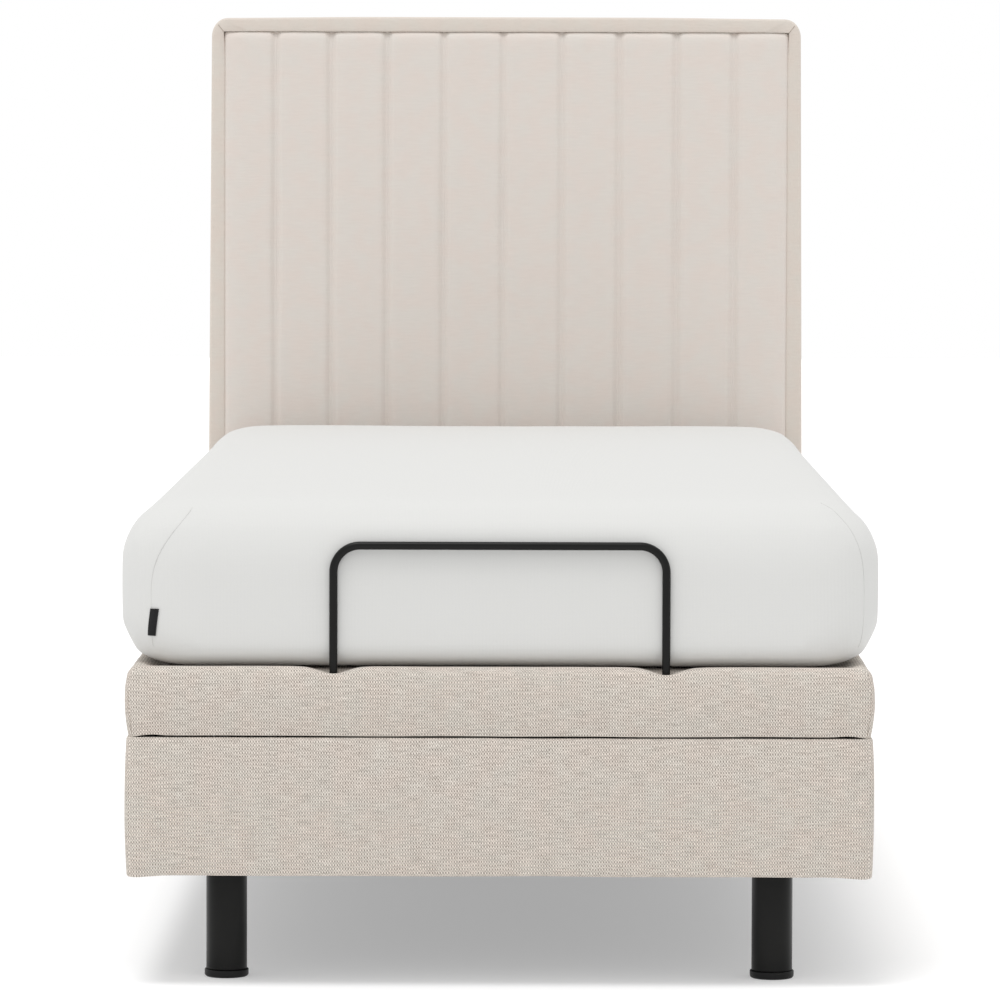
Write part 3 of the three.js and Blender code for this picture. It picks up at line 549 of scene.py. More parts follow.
def thread_piece(name, runs, radius, material, body):
    """Thin round threads along runs of points, as one piece that rides on a body."""
    obj = smooth(round_rods(name, runs, radius, 2), 60)
    return finish_piece(map_cloth(obj), material, body)


def stitches(route, length, gap):
    """Short runs along a route of points, as a row of stitches."""
    route = [Vector(p) for p in route]
    runs = []
    along = 0.0
    for start, end in zip(route, route[1:]):
        reach = (end - start).length
        while along + length < reach:
            direction = (end - start) / reach
            runs.append([start + direction * along, start + direction * (along + length)])
            along += length + gap
        along = max(0.0, along - reach)
    return runs


def ripple(point, scale, seed):
    """Smooth repeatable noise between about -1 and 1."""
    return noise.noise(Vector(point) * scale + Vector((seed, seed * 0.7, -seed)))


def smoothstep(low, high, values):
    """0 below the low value, 1 above the high one, and smooth between."""
    share = np.clip((values - low) / (high - low), 0, 1)
    return share * share * (3 - 2 * share)


# ---- Camera, light and floor ----
CAMERA_DISTANCE = 7.0185  # in front of the foot end
CAMERA_HEIGHT = 1.0152
CAMERA_ASIDE = 0.0265
CAMERA_LENS = 210.4  # millimetres, on a sensor 36 mm wide
CAMERA_PITCH = 3.459  # degrees, looking down
CAMERA_YAW = 0.2175
CAMERA_ROLL = 0.1545


def add_camera():
    data = bpy.data.cameras.new("camera")
    data.lens = CAMERA_LENS
    data.sensor_width = 36.0
    data.clip_start = 0.1
    data.clip_end = 100.0
    camera = bpy.data.objects.new("camera", data)
    SCENE.collection.objects.link(camera)
    turn = (
        Matrix.Rotation(math.radians(CAMERA_YAW), 3, "Z")
        @ Matrix.Rotation(math.radians(90 - CAMERA_PITCH), 3, "X")
        @ Matrix.Rotation(math.radians(CAMERA_ROLL), 3, "Z")
    )
    camera.location = (CAMERA_ASIDE, cad_box[0].y - CAMERA_DISTANCE, CAMERA_HEIGHT)
    camera.rotation_euler = turn.to_euler()
    SCENE.camera = camera


def add_sky():
    """Even soft light from all round, seen as plain white paper behind the bed."""
    world = bpy.data.worlds.new("studio")
    SCENE.world = world
    world.use_nodes = True
    nodes = world.node_tree.nodes
    background = nodes["Background"]
    background.inputs["Color"].default_value = (1.0, 1.0, 1.0, 1.0)
    seen = nodes.new("ShaderNodeLightPath").outputs["Is Camera Ray"]
    strength = nodes.new("ShaderNodeMapRange")
    strength.inputs["To Min"].default_value = 0.88
    strength.inputs["To Max"].default_value = 1.0
    world.node_tree.links.new(seen, strength.inputs["Value"])
    world.node_tree.links.new(strength.outputs["Result"], background.inputs["Strength"])


def add_key_light():
    """A broad far lamp, above and to the left of the foot end."""
    data = bpy.data.lights.new("key", "SUN")
    data.energy = 1.3
    data.angle = math.radians(22)
    light = bpy.data.objects.new("key", data)
    SCENE.collection.objects.link(light)
    light.rotation_euler = Vector((0.15, 0.2, -1.0)).to_track_quat("-Z", "Y").to_euler()


def add_floor():
    """A plain pale floor, slightly lit of itself so that shadows on it stay light."""
    bpy.ops.mesh.primitive_plane_add(size=40.0, location=(0, 0, 0))
    floor = bpy.context.active_object
    floor.name = "floor"
    made = Material(
        "studio_floor",
        Specular_IOR_Level=0.1,
        Emission_Color=(1, 1, 1, 1),
        Emission_Strength=0.35,
    )
    cloud = made.noise(made.place(), 0.6, 2.0)
    floor.data.materials.append(
        made.surface(
            Base_Color=made.mix(cloud, (0.69, 0.69, 0.69, 1.0), (0.71, 0.71, 0.71, 1.0)),
            Roughness=0.9 + cloud * 0.05,
        )
    )


# ---- Box upholstery ----
def box_upholstery():
    """The fabric round the box, turned in under its edges, with soft corners and a little slack."""
    low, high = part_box("box_cover")
    obj = add_block("box_upholstery", low, high)
    bevel_edges(obj, lambda a, b: abs(a.z - b.z) > 0.05, 17 * MM, 6)
    bevel_edges(obj, lambda a, b: abs(a.z - b.z) < 1e-5, 2.8 * MM, 3)
    delete_faces(obj, lambda face: abs(face.normal.z) > 0.99, rim=14 * MM)
    slice_mesh(obj, 0, steps_between(low.x + 0.02, high.x - 0.02, 12 * MM))
    slice_mesh(obj, 1, steps_between(low.y + 0.02, high.y - 0.02, 25 * MM))
    slice_mesh(obj, 2, steps_between(low.z + 3 * MM, high.z - 3 * MM, 10 * MM))
    shape_box(obj, low, high)
    apply_modifier(obj, "SOLIDIFY", thickness=1.5 * MM, offset=-1.0)
    map_cloth(smooth(obj, 60))
    return finish_piece(obj, BASE_TWEED, "base", ["box_cover"])


def shape_box(obj, low, high):
    """Fills the faces out a little and lets the hems wander, lower at the foot corners."""
    centre = (low + high) / 2
    points = points_of(obj)
    shaped = points.copy()
    up = np.clip((points[:, 2] - low.z) / (high.z - low.z), 0, 1)
    slack = np.array([ripple(p, 7.0, 3.0) * 0.9 + ripple(p, 23.0, 5.0) * 0.35 for p in points]) * MM
    full = (2.6 * MM + slack) * np.sin(np.pi * up) ** 0.7
    for axis in (0, 1):
        half = (high[axis] - low[axis]) / 2
        away = points[:, axis] - centre[axis]
        share = np.clip((np.abs(away) - (half - 0.018)) / 0.018, 0, 1)
        shaped[:, axis] += np.sign(away) * share * full
    near_corner = 1 - smoothstep(0.0, 0.055, high.x - np.abs(points[:, 0]))
    foot = points[:, 1] < low.y + 0.06
    shaped[:, 2] -= 3.0 * MM * near_corner * (1 - smoothstep(0.0, 0.3, up)) * foot
    wave = np.array([ripple((p[0], p[1], 0), 11.0, 6.0) for p in points]) * 0.7 * MM
    shaped[:, 2] += wave * (1 - smoothstep(0.0, 0.25, up)) - np.abs(wave) * smoothstep(0.8, 1.0, up)
    set_points(obj, shaped)


# ---- Platform sections ----
JOINTS = {joint["name"]: joint for joint in frame["joints"]}
HINGE_HEIGHT = JOINTS["back_lift"]["pos_m"][2]
BACK_FOLD = math.radians(JOINTS["back_lift"]["range_deg"][1])
THIGH_FOLD = math.radians(JOINTS["thigh_lift"]["range_deg"][1])
KNEE_FOLD = math.radians(JOINTS["knee_fold"]["range_deg"][1])
BACK_LINE = JOINTS["back_lift"]["pos_m"][1]
THIGH_LINE = JOINTS["thigh_lift"]["pos_m"][1]
KNEE_LINE = JOINTS["knee_fold"]["pos_m"][1]

SECTION_CORNER = 19 * MM  # radius of the free corners
RIM_DROP = 1.5 * MM  # the fabric's top edge lies this far below the pad's full height
PAD_SINK = 5.5 * MM  # and the mattress presses the middle this much deeper


def hinged_end(face, folds, height):
    """Whether a face is part of an end beside a fold, below a height."""
    return any(
        fold is not None and abs(face.center.y - place) < 2e-4 and face.center.z < height
        for place, fold, _ in folds
    )


def section_cover(name, body, low_fold, high_fold, rods=()):
    """A fabric-covered section: rounded top edge, skirts down the open sides, ends that lean away
    from each fold. A fold is (lean above, lean below) the hinge line, or None at a free end."""
    low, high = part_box(f"{name}_cover")
    deck_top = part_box(f"{name}_deck")[1].z
    folds = [(low.y, low_fold, 1.0), (high.y, high_fold, -1.0)]
    obj = add_block(f"{name}_upholstery", low, high)
    for place, fold, _ in folds:
        if fold is None:
            bevel_edges(
                obj,
                lambda a, b: abs(a.z - b.z) > 0.02 and abs(a.y - place) < 1e-4,
                SECTION_CORNER,
                6,
            )
    bevel_edges(obj, lambda a, b: min(a.z, b.z) > high.z - 1e-5, 12 * MM, 5)
    slice_section(obj, low, high, folds, rods, deck_top - 1 * MM)
    delete_faces(
        obj,
        lambda face: face.normal.z < -0.9 or hinged_end(face, folds, deck_top - 1 * MM),
    )
    shape_section(obj, low, high, folds)
    for x in rods:
        rod_dimple(obj, x, high.z)
    apply_modifier(obj, "SOLIDIFY", thickness=2.2 * MM, offset=-1.0)
    map_cloth(smooth(obj, 60))
    return finish_piece(obj, BASE_TWEED, body, [f"{name}_cover", f"{name}_foam"])


def slice_section(obj, low, high, folds, rods, skirt_top):
    """Even loops all over, closer near the free edges and where the rods go in."""
    for x in rods:
        slice_mesh(obj, 0, [x + step * 4 * MM for step in range(-9, 10)])
    slice_mesh(obj, 0, steps_between(low.x + 0.02, high.x - 0.02, 14 * MM))
    slice_mesh(obj, 0, [side * (high.x - step * 5 * MM) for step in range(4, 9) for side in (-1, 1)])
    for place, fold, sign in folds:
        if fold is None:
            slice_mesh(obj, 1, [place + sign * (14 * MM + step * 4 * MM) for step in range(8)])
    slice_mesh(obj, 1, steps_between(low.y + 0.02, high.y - 0.02, 14 * MM))
    slice_mesh(obj, 2, [HINGE_HEIGHT, skirt_top, low.z + 3 * MM])
    slice_mesh(obj, 2, steps_between(low.z, high.z - 0.018, 9 * MM))


def pressed(points, high, folds):
    """0 at the free edges of a section's top, 1 where the mattress lies on it."""
    from_edge = high.x - np.abs(points[:, 0])
    for place, fold, _ in folds:
        if fold is None:
            from_edge = np.minimum(from_edge, np.abs(points[:, 1] - place))
    return smoothstep(12 * MM, 38 * MM, from_edge)


def shape_section(obj, low, high, folds):
    """Leans the hinged ends, bellies the sides and lets the skirts' hems wander."""
    points = points_of(obj)
    shaped = points.copy()
    height = points[:, 2] - HINGE_HEIGHT
    up = np.clip((points[:, 2] - low.z) / (high.z - low.z), 0, 1)
    slack = np.array([ripple(p, 9.0, 11.0) * 0.9 + ripple(p, 31.0, 2.0) * 0.35 for p in points]) * MM
    belly = np.polyval(np.polyfit([0, 0.4, 0.8, 1.0], np.array([-2.2, 2.6, 1.2, -1.0]) * MM, 3), up)
    from_side = high.x - np.abs(points[:, 0])
    side = np.clip(1 - from_side / SECTION_CORNER, 0, 1)
    rounded = 3.0 * MM * smoothstep(0.75, 1.0, up)
    shaped[:, 0] += np.sign(points[:, 0]) * side * (belly + slack - rounded)
    for place, fold, sign in folds:
        away = np.abs(points[:, 1] - place)
        if fold is None:
            shaped[:, 1] -= sign * np.clip(1 - away / SECTION_CORNER, 0, 1) * (belly + slack)
            continue
        lean = np.where(height > 0, np.tan(fold[0]) * height, np.tan(fold[1]) * -height)
        shaped[:, 1] += sign * lean * (1 - smoothstep(0.0, 0.09, away))
    uneven = slack * 0.5 * np.clip(from_side / 0.06, 0, 1)
    sunk = RIM_DROP + PAD_SINK * pressed(points, high, folds)
    shaped[:, 2] += smoothstep(0.86, 1.0, up) * (uneven - sunk)
    hem = 1 - smoothstep(0.0, 0.3, up)
    corner = 1 - smoothstep(0.0, 0.022, from_side)
    lift = np.exp(-(((from_side - 0.032) / 0.014) ** 2))
    wave = np.array([ripple((p[0], p[1], 0), 8.0, 21.0) for p in points]) * 0.8 * MM
    shaped[:, 2] += hem * (wave - 2.0 * MM * corner + 1.4 * MM * lift)
    set_points(obj, shaped)


def rod_dimple(obj, rod_x, top):
    """The cover dips and is drawn in where the retainer bar's rod goes into it."""
    low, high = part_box("retainer_bar")
    rod_y = (low.y + high.y) / 2
    points = points_of(obj)
    away = np.hypot((points[:, 0] - rod_x) / 1.6, points[:, 1] - rod_y)
    wide = 9.5 * MM * np.exp(-((away / (14 * MM)) ** 2))
    narrow = 3.0 * MM * np.exp(-((away / (7 * MM)) ** 2))
    points[:, 2] -= (wide + narrow) * smoothstep(top - 0.04, top - 0.004, points[:, 2])
    set_points(obj, points)


def bar_rods():
    """The two places across the bed where the retainer bar's rods stand."""
    low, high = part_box("retainer_bar")
    radius = (high.y - low.y) / 2
    return [low.x + radius, high.x - radius]


def surface_tree(obj):
    """The piece's faces, ready for casting rays."""
    return BVHTree.FromPolygons(
        [tuple(p) for p in points_of(obj)],
        [tuple(face.vertices) for face in obj.data.polygons],
    )


def corner_seams(cover):
    """A stitched seam down each foot corner of the calf section, lying on its cover."""
    low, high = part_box("calf_cover")
    tree = surface_tree(cover)
    runs = []
    for side in (-1, 1):
        route = []
        for height in np.linspace(low.z + 3 * MM, high.z - 30 * MM, 12):
            turn = math.radians(38 + 10 * (high.z - height) / (high.z - low.z))
            outward = Vector((side * math.cos(turn), -math.sin(turn), 0))
            centre = Vector((side * (high.x - SECTION_CORNER), low.y + SECTION_CORNER, height))
            hit, _, _, _ = tree.ray_cast(centre + outward * 0.05, -outward)
            route.append(hit + outward * 0.1 * MM)
        runs += stitches(route, 2.4 * MM, 1.5 * MM)
    thread_piece("calf_corner_stitches", runs, 0.45 * MM, SHADE_THREAD, "calf_section")


def platform():
    """The four sections, each leaning half of its fold away from its neighbour."""
    back, thigh, knee = BACK_FOLD / 2, THIGH_FOLD / 2, KNEE_FOLD / 2
    section_cover("back", "back_section", (back, 0.0), None)
    section_cover("seat", "base", (thigh, 0.0), (back, 0.0))
    section_cover("thigh", "thigh_section", (0.0, knee), (thigh, 0.0))
    calf = section_cover("calf", "calf_section", None, (0.0, knee), bar_rods())
    corner_seams(calf)


# ---- Mattress ----
SIDE_PROFILE = (2, 3.2, 3.6, 3.4, 2.2, -1.5)  # how far the sides stand out at even heights, mm
END_PROFILE = (5, 4.5, 3.5, 3.5, 1.5, -1.5)
CORNER_ROUND = 85 * MM  # radius of the upright corners
TOP_ROUND = 70 * MM
SIDE_TUCK = 56 * MM  # radius at the foot of the sides
END_TUCK = 22 * MM


def mattress_box():
    boxes = [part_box(name) for name in frame["nodes"] if name.startswith("mattress_")]
    low = Vector([min(b[0][i] for b in boxes) for i in range(3)])
    high = Vector([max(b[1][i] for b in boxes) for i in range(3)])
    return low, high


def mattress_body(low, high):
    """The whole mattress as one rounded block, its sides standing out and tucked in at the foot."""
    obj = add_block("mattress", low, high)
    bevel_edges(obj, lambda a, b: abs(a.z - b.z) > 0.05, CORNER_ROUND, 10)
    bevel_edges(obj, lambda a, b: min(a.z, b.z) > high.z - 1e-5, TOP_ROUND, 10)
    bevel_edges(obj, lambda a, b: max(a.z, b.z) < low.z + 1e-5, END_TUCK, 7)
    slice_mesh(obj, 0, steps_between(low.x + 0.09, high.x - 0.09, 30 * MM))
    slice_mesh(obj, 2, steps_between(low.z + END_TUCK, high.z - TOP_ROUND, 10 * MM))
    points = points_of(obj)
    shaped = points.copy()
    centre = (low + high) / 2
    up = (points[:, 2] - low.z) / (high.z - low.z)
    above = points[:, 2] - low.z
    tuck = arc_inset(SIDE_TUCK, above) - arc_inset(END_TUCK, above)
    for axis, profile, inset in ((0, SIDE_PROFILE, tuck), (1, END_PROFILE, 0)):
        half = (high[axis] - low[axis]) / 2
        away = points[:, axis] - centre[axis]
        share = np.clip((np.abs(away) - (half - 0.1)) / 0.1, 0, 1)
        shaped[:, axis] += np.sign(away) * share * (through_heights(up, profile) - inset)
    shaped[:, 2] -= (RIM_DROP + PAD_SINK - 2.0 * MM) * (1 - smoothstep(0.0, 0.3, up))
    set_points(obj, shaped)
    return obj


def through_heights(up, profile):
    """A smooth curve through values given at even heights, in millimetres."""
    levels = np.linspace(0, 1, len(profile))
    return np.polyval(np.polyfit(levels, np.array(profile) * MM, 4), np.clip(up, 0, 1))


def arc_inset(radius, height):
    """How far a quarter round of a radius stands back at a height above its foot."""
    drop = np.clip(radius - height, 0, radius)
    return radius - np.sqrt(radius**2 - drop**2)


def fill_out(obj, voxel, reach):
    """Draws a closed soft shape in a little and lets it swell as cloth under pressure, so that its
    cover finds its own tension. No point moves further than the reach, the size stays, and the
    underside is flat where it rests."""
    wanted_low, wanted_high = points_of(obj).min(axis=0), points_of(obj).max(axis=0)
    apply_modifier(obj, "REMESH", mode="VOXEL", voxel_size=voxel)
    start = points_of(obj) - read_all(obj.data.vertices, "normal", width=3) * reach * 0.9
    set_points(obj, start)
    only(obj)
    cloth = obj.modifiers.new("Cloth", "CLOTH")
    cloth.settings.use_pressure = True
    cloth.settings.uniform_pressure_force = 4.0
    cloth.settings.effector_weights.gravity = 0.0
    for number in range(1, 21):
        SCENE.frame_set(number)
    bpy.ops.object.modifier_apply(modifier=cloth.name)
    SCENE.frame_set(1)
    moved = points_of(obj) - start
    far = np.linalg.norm(moved, axis=1)
    kept = reach * np.tanh(far / reach) / np.maximum(far, 1e-9)
    set_points(obj, start + moved * kept[:, None])
    apply_modifier(obj, "SUBSURF", levels=1, render_levels=1)
    points = points_of(obj)
    low, high = points.min(axis=0), points.max(axis=0)
    deeper = wanted_low - np.array([0, 0, 4 * MM])
    filled = deeper + (points - low) * (wanted_high - deeper) / (high - low)
    filled[:, 2] = np.maximum(filled[:, 2], wanted_low[2])
    set_points(obj, filled)


def fold_weights(obj, hinge, fold, towards, shift):
    """How far each point would turn with the lifting section: a narrow bend at the bottom that widens
    upwards, so that the cover rounds the fold and doesn't pinch, and shifts a little. The weights are
    worked out but neither returned nor kept."""
    points = points_of(obj)
    height = points[:, 2] - HINGE_HEIGHT
    half = 0.02 + 0.8 * height * fold
    centre = hinge + towards * shift * np.clip(height / 0.24, 0, 1)
    weights = smoothstep(-half, half, (points[:, 1] - centre) * towards)


def close_cut(obj, place):
    """A flat face over the open end where the mattress is parted."""
    only(obj)
    select_edges(obj, lambda a, b: abs(a.y - place) < 1e-5 and abs(b.y - place) < 1e-5)
    bpy.ops.mesh.edge_face_add()
    bpy.ops.object.mode_set(mode="OBJECT")


def split_mattress(obj, low, high):
    """Three pieces, parted square across where nothing bends."""
    seat_cut = (BACK_LINE + THIGH_LINE) / 2 - 0.03
    thigh_cut = (THIGH_LINE + KNEE_LINE) / 2
    slice_mesh(obj, 1, steps_between(low.y + 0.09, high.y - 0.09, 16 * MM) + [seat_cut, thigh_cut])
    spans = {
        "mattress_head_part": (seat_cut, high.y + 1),
        "mattress_seat_part": (thigh_cut, seat_cut),
        "mattress_foot_part": (low.y - 1, thigh_cut),
    }
    parts = {}
    for name, (start, end) in spans.items():
        only(obj)
        bpy.ops.object.duplicate()
        part = bpy.context.active_object
        part.name = part.data.name = name
        delete_faces(part, lambda face: not start < face.center.y < end)
        for cut in (seat_cut, thigh_cut):
            if start <= cut <= end:
                close_cut(part, cut)
        parts[name] = part
    bpy.data.objects.remove(obj)
    return parts


def corner_place(tree, side, turn, height):
    """A point on the mattress's foot corner: turn is in degrees from its side towards its foot."""
    low, high = mattress_box()
    origin = Vector((side * (high.x - CORNER_ROUND), low.y + CORNER_ROUND, height))
    direction = Vector((side * math.cos(math.radians(turn)), -math.sin(math.radians(turn)), 0))
    hit, _, _, _ = tree.ray_cast(origin, direction)
    return hit, direction


def corner_route(tree, side, turn, lean, last):
    """Points up a corner seam that starts at a turn and leans towards the foot as it rises."""
    low, _ = mattress_box()
    route = []
    for height in np.linspace(0.02, last, 60):
        rise = max(0.0, (height - 0.085) / (last - 0.085))
        hit, direction = corner_place(tree, side, turn + lean * rise**2.1, low.z + float(height))
        route.append(hit + direction * 0.1 * MM)
    return route


def mattress_trim(foot_part):
    """Corner seams of the cover, in a thread a little darker than the knit that is partly its own colour and
    partly a painted shadow line along the seam, and the plain black tag sewn into one of them.
    """
    tree = surface_tree(foot_part)
    seams = [corner_route(tree, -1, 57, 33, 0.187), corner_route(tree, 1, 41, 14, 0.193)]
    # The seams' thread is a little darker than the knit: partly its own colour, partly a painted shadow line.
    thread_piece(
        "mattress_corner_seams",
        seams,
        0.4 * MM,
        SEAM_THREAD_AND_SHADE,
        "calf_section",
    )
    side_tag(tree)


def side_tag(tree):
    """A plain woven tag, about 11 by 33 mm, lying on the cover beside the seam."""
    low, _ = mattress_box()
    columns, rows = 5, 9
    verts = []
    for row in range(rows + 1):
        height = low.z + 0.033 + 0.033 * row / rows
        for column in range(columns + 1):
            turn = 53.6 + 7.4 * column / columns + 3.4 * row / rows
            hit, direction = corner_place(tree, -1, turn, height)
            verts.append(hit + direction * (1.1 * MM + 0.3 * MM * math.sin(math.pi * column / columns)))
    faces = []
    for row in range(rows):
        for column in range(columns):
            a = row * (columns + 1) + column
            faces.append((a, a + 1, a + columns + 2, a + columns + 1))
    data = bpy.data.meshes.new("mattress_tag")
    data.from_pydata(verts, [], faces)
    obj = bpy.data.objects.new("mattress_tag", data)
    SCENE.collection.objects.link(obj)
    only(obj)
    bpy.ops.object.mode_set(mode="EDIT")
    bpy.ops.mesh.select_all(action="SELECT")
    bpy.ops.mesh.normals_make_consistent(inside=False)
    bpy.ops.object.mode_set(mode="OBJECT")
    apply_modifier(obj, "SOLIDIFY", thickness=0.9 * MM, offset=0.0)
    smooth(obj, 50)
    finish_piece(map_cloth(obj), TAG, "calf_section")


# Of each part: the two bodies on either side of its fold, the hinge line, the fold, which way the turning
# body lies, how far the bend shifts that way at the top, and the nodes that it replaces.
MATTRESS_PARTS = {
    "mattress_head_part": (
        ("base", "back_section"),
        (BACK_LINE, BACK_FOLD, 1, 0.12),
        ["mattress_back", "mattress_fold_back", "mattress_seat"],
    ),
    "mattress_seat_part": (
        ("base", "thigh_section"),
        (THIGH_LINE, THIGH_FOLD, -1, 0.02),
        ["mattress_fold_thigh", "mattress_thigh"],
    ),
    "mattress_foot_part": (
        ("thigh_section", "calf_section"),
        (KNEE_LINE, KNEE_FOLD, -1, 0.0),
        ["mattress_calf"],
    ),
}


def bend_part(part, bodies, bend, replaced):
    """Gives a part of the mattress its smooth shading, cloth map and material, and hides the nodes that it
    replaces.
    """
    line, fold, towards, shift = bend
    map_cloth(smooth(part, 60))
    start = (0, line - towards * 0.05, HINGE_HEIGHT)
    end = (0, line + towards * 0.05, HINGE_HEIGHT)
    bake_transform(part)
    fold_weights(part, line, fold, towards, shift)
    finish_piece(part, KNIT, None, replaced)


def mattress():
    low, high = mattress_box()
    obj = mattress_body(low, high)
    fill_out(obj, 20 * MM, 5 * MM)
    smooth(obj, 80)
    parts = split_mattress(obj, low, high)
    for name, part in parts.items():
        bend_part(part, *MATTRESS_PARTS[name])
    mattress_trim(parts["mattress_foot_part"])


# ---- Retainer bar, legs and glides ----
def retainer_bar():
    """One bent rod: a straight top, two round bends, two legs that go down into the cover."""
    low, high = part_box("retainer_bar")
    sunk = 15 * MM
    radius = (high.y - low.y) / 2
    bend = 32 * MM
    left, right = low.x + radius, high.x - radius
    top = high.z - radius
    y = (low.y + high.y) / 2
    route = [(left, y, low.z - sunk)]
    for centre, start in ((left + bend, math.pi), (right - bend, math.pi / 2)):
        for step in range(17):
            turn = start - math.pi / 2 * step / 16
            route.append((centre + bend * math.cos(turn), y, top - bend + bend * math.sin(turn)))
    route.append((right, y, low.z - sunk))
    obj = smooth(round_rods("retainer_rod", [route], radius, 8), 50)
    finish_piece(obj, BLACK, "calf_section", ["retainer_bar"])


def round_piece(name, node_name, rims, material):
    """A cylinder in a node's place, with its bottom and top rims rounded."""
    low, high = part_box(node_name)
    bpy.ops.object.select_all(action="DESELECT")
    bpy.ops.mesh.primitive_cylinder_add(
        vertices=64,
        radius=(high.x - low.x) / 2,
        depth=high.z - low.z,
        location=(low + high) / 2,
    )
    obj = bpy.context.active_object
    obj.name = obj.data.name = name
    bpy.ops.object.transform_apply(location=True, rotation=True, scale=True)
    for level, rim in zip((low.z, high.z), rims):
        bevel_edges(obj, lambda a, b: abs(a.z - level) < 1e-5 and abs(b.z - level) < 1e-5, rim, 5)
    smooth(obj, 40)
    return finish_piece(obj, material, "base", [node_name])


def legs():
    for end in ("foot", "head"):
        for side in ("left", "right"):
            corner = f"{end}_{side}"
            leg_rims = (0.8 * MM, 0.8 * MM)
            glide_rims = (3.6 * MM, 1.2 * MM)
            round_piece(f"tube_leg_{corner}", f"leg_{corner}", leg_rims, BLACK)
            round_piece(f"foot_glide_{corner}", f"glide_{corner}", glide_rims, GLIDE)


# ---- Headboard ----
CHANNEL_WIDTHS = (80, 85, 86, 87, 91, 90, 88, 88, 88, 84)  # sewn widths; only their shares count
CREASE_STEPS = (0.8, 1.6, 2.6, 4, 5.8, 8, 10.5, 14)  # loops beside each seam, in millimetres
SIDE_STEPS = (1, 2.5, 5, 8)
TOP_STEPS = (1, 2.5, 4.5, 7, 10, 14, 19, 25, 33)


def channel_seams(low, high):
    """Where the seams stand across the panel, its two sides included."""
    seams = [low]
    for width in CHANNEL_WIDTHS:
        seams.append(seams[-1] + (high - low) * width / sum(CHANNEL_WIDTHS))
    return seams


def headboard_panel():
    """Ten upright channels, flat across, with a soft groove and a low sewn ridge at each seam."""
    low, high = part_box("headboard_panel")
    seams = channel_seams(low.x, high.x)
    obj = add_block("headboard_channels", low, high)
    slice_panel(obj, low, high, seams)
    points = points_of(obj)
    front = points[:, 1] < low.y + 1e-4
    points[:, 1] += np.where(front, panel_depth(points, low, high, seams[1:-1]), 0)
    set_points(obj, points)
    map_cloth(smooth(obj, 60))
    return finish_piece(obj, PANEL_TWEED, "base", ["headboard_panel"])


def slice_panel(obj, low, high, seams):
    """Loops that lie closer near the seams, the sides and the top."""
    for x in seams[1:-1]:
        right = [x + step * MM for step in CREASE_STEPS]
        left = [x - step * MM for step in CREASE_STEPS]
        slice_mesh(obj, 0, [x] + right + left)
    for start, end in zip(seams, seams[1:]):
        slice_mesh(obj, 0, steps_between(start + 0.014, end - 0.014, 10 * MM))
    slice_mesh(obj, 0, [low.x + step * MM for step in SIDE_STEPS])
    slice_mesh(obj, 0, [high.x - step * MM for step in SIDE_STEPS])
    slice_mesh(obj, 2, [high.z - step * MM for step in TOP_STEPS])
    slice_mesh(obj, 2, steps_between(low.z, high.z - 0.04, 11 * MM))


def panel_depth(points, low, high, seams):
    """How far the panel's front stands back at each point: grooves, edges and a little softness."""
    from_seams = np.abs(points[:, 0][:, None] - np.array(seams)[None, :])
    distance = np.min(from_seams, axis=1)
    nearest = np.argmin(from_seams, axis=1)
    below_top = high.z - points[:, 2]
    side_gap = np.minimum(points[:, 0] - low.x, high.x - points[:, 0])
    wander = np.array([ripple((n * 3.0, 0, p[2]), 5.0, 9.0) for n, p in zip(nearest, points)])
    width = (10.0 + 2.0 * wander) * MM
    groove = (4.4 + 1.2 * wander) * MM * (1 - smoothstep(0.0, 1.0, distance / width))
    ridge = 1.5 * MM * (1 - smoothstep(0.0, 1.0, distance / (2.2 * MM))) * (0.6 + 0.6 * wander)
    pinch = 4.0 * MM * np.exp(-below_top / (9 * MM)) * np.exp(-distance / (7 * MM))
    tuck = 7.0 * MM * np.exp(-side_gap / (3.5 * MM)) + 6.0 * MM * np.exp(-below_top / (4.0 * MM))
    soft = np.array([ripple((p[0], 0, p[2]), 8.0, 8.0) * 0.8 for p in points])
    pleats = np.array([ripple((p[0], 0, p[2] * 0.4), 40.0, 4.0) * 0.7 for p in points])
    pleats *= np.exp(-below_top / 0.04)
    return 1.5 * MM + np.minimum(groove - ridge + pinch + tuck, 11 * MM) + (soft + pleats) * MM


def headboard_border():
    """The padded band round the headboard, with a sewn mitre at each top corner."""
    low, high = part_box("headboard_border")
    board_low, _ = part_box("headboard_board")
    band = board_low.x - low.x - 0.3 * MM
    obj = band_frame(low, high, band)
    bevel_edges(obj, lambda a, b: is_rim(a, b, low, high, band), 4 * MM, 4)
    shape_band(obj, low, high, band)
    map_cloth(smooth(obj, 50))
    finish_piece(obj, BORDER_TWEED, "base", ["headboard_border"])
    mitre_seams(low, high, band)


def band_frame(low, high, band):
    """A flat frame with round top corners, as wide as the band all round."""
    obj = add_block("headboard_band", low, high)
    bevel_edges(
        obj,
        lambda a, b: abs(a.y - b.y) > 0.02 and min(a.z, b.z) > high.z - 1e-4,
        31 * MM,
        10,
    )
    slice_mesh(obj, 2, steps_between(low.z, high.z - 0.04, 20 * MM))
    slice_mesh(obj, 0, steps_between(low.x + 0.04, high.x - 0.04, 20 * MM))
    hole = add_block(
        "band_hole",
        (low.x + band, low.y - 0.05, low.z + band),
        (high.x - band, high.y + 0.05, high.z - band),
    )
    apply_modifier(obj, "BOOLEAN", object=hole, solver="EXACT")
    bpy.data.objects.remove(hole)
    return obj


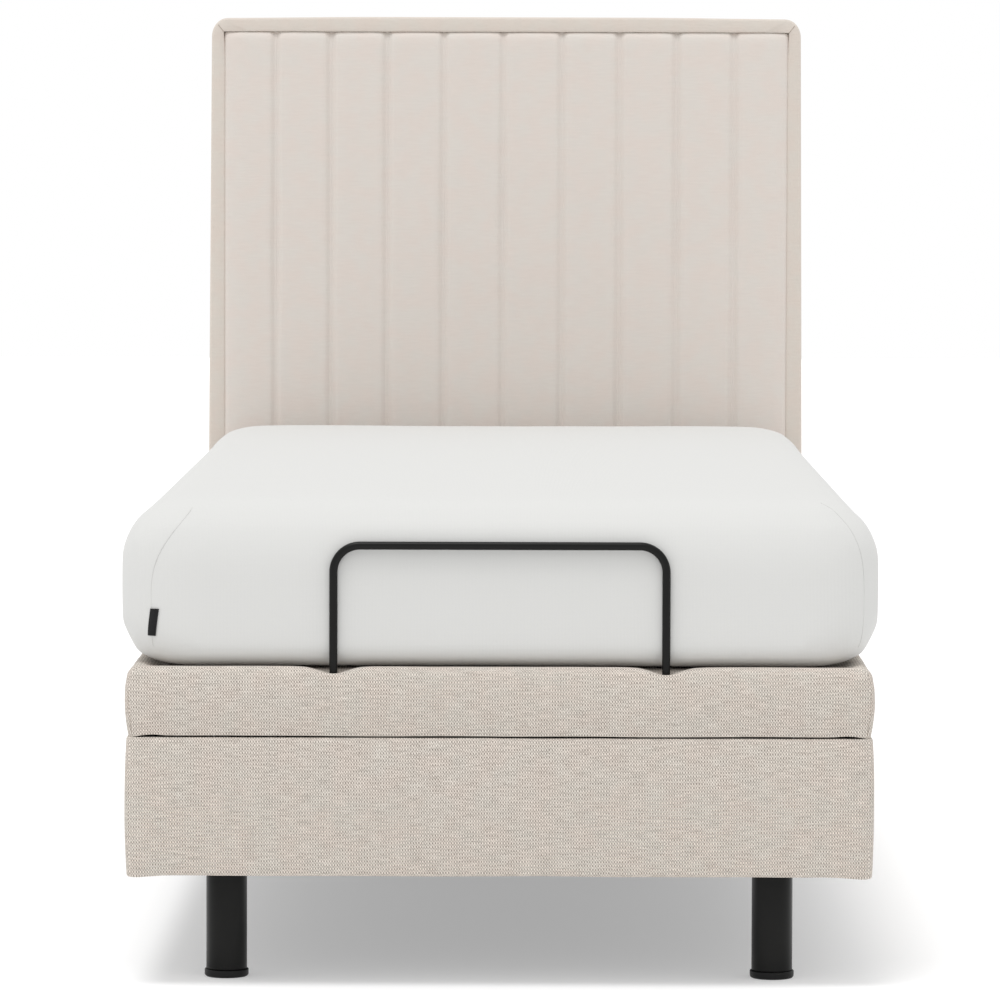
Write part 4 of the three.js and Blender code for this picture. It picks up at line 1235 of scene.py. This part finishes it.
def shape_band(obj, low, high, band):
    """Slightly narrower towards the top, with a low crown there and the inner lip pulled tight."""
    points = points_of(obj)
    outside = np.maximum(np.abs(points[:, 0]) - (high.x - band), 0) / band
    rise = np.clip((points[:, 2] - 0.55) / (high.z - 0.55), 0, 1)
    points[:, 0] -= np.sign(points[:, 0]) * outside * rise * 5.0 * MM
    from_hole = np.abs(np.abs(points[:, 0]) - (high.x - band))
    lip = (points[:, 1] < low.y + 6 * MM) & (from_hole < 5 * MM)
    below_corner = 1 - smoothstep(high.z - band - 0.03, high.z - band, points[:, 2])
    points[:, 0] -= np.where(lip, np.sign(points[:, 0]) * below_corner * 3.0 * MM, 0)
    over = np.clip((points[:, 2] - (high.z - band)) / band, 0, 1)
    points[:, 2] -= over * 2.2 * MM * smoothstep(0.2, 0.46, np.abs(points[:, 0]))
    set_points(obj, points)


def is_rim(a, b, low, high, band):
    """Whether an edge of the band runs along the front's outer or inner outline."""
    if max(abs(a.y - low.y), abs(b.y - low.y)) > 1e-4:
        return False
    hole_side, hole_top, hole_foot = high.x - band, high.z - band, low.z + band

    def outlines(p):
        inner_side = abs(abs(p.x) - hole_side) < 1e-4 and p.z < hole_top + 1e-4
        inner_level = min(abs(p.z - hole_top), abs(p.z - hole_foot)) < 1e-4
        inner_end = inner_level and abs(p.x) < hole_side + 1e-4
        outer = abs(p.x) > high.x - 0.032 or p.z > high.z - 0.032 or p.z < low.z + 1e-4
        return inner_side, inner_end, outer

    on_one = any(first and second for first, second in zip(outlines(a), outlines(b)))
    return on_one and not crosses_band(a, b, high, band)


def crosses_band(a, b, high, band):
    """Whether an edge runs across the band rather than along it."""
    if max(a.z, b.z) > high.z - band + 1e-4 and min(abs(a.x), abs(b.x)) < high.x - 0.035:
        return abs(a.x - b.x) < 1e-5
    return abs(a.z - b.z) < 1e-5 and max(abs(a.x), abs(b.x)) > high.x - band - 1e-4


def mitre_seams(low, high, band):
    """A short sewn line across the band at each top corner."""
    runs = []
    for side in (-1, 1):
        inner = Vector((side * (high.x - band - 1.5 * MM), low.y - 0.1 * MM, high.z - band - 2 * MM))
        outer = Vector((side * (high.x - 14.5 * MM), low.y - 0.1 * MM, high.z - 12.5 * MM))
        runs.append([inner + (outer - inner) * step / 6 for step in range(7)])
    thread_piece("band_mitre_seams", runs, 0.35 * MM, SHADE_THREAD, "base")


# ---- The whole bed ----
SCENE.view_settings.view_transform = "Standard"
add_camera()
add_sky()
add_key_light()
add_floor()
dress_frame_nodes()
box_upholstery()
platform()
mattress()
retainer_bar()
legs()
headboard_panel()
headboard_border()
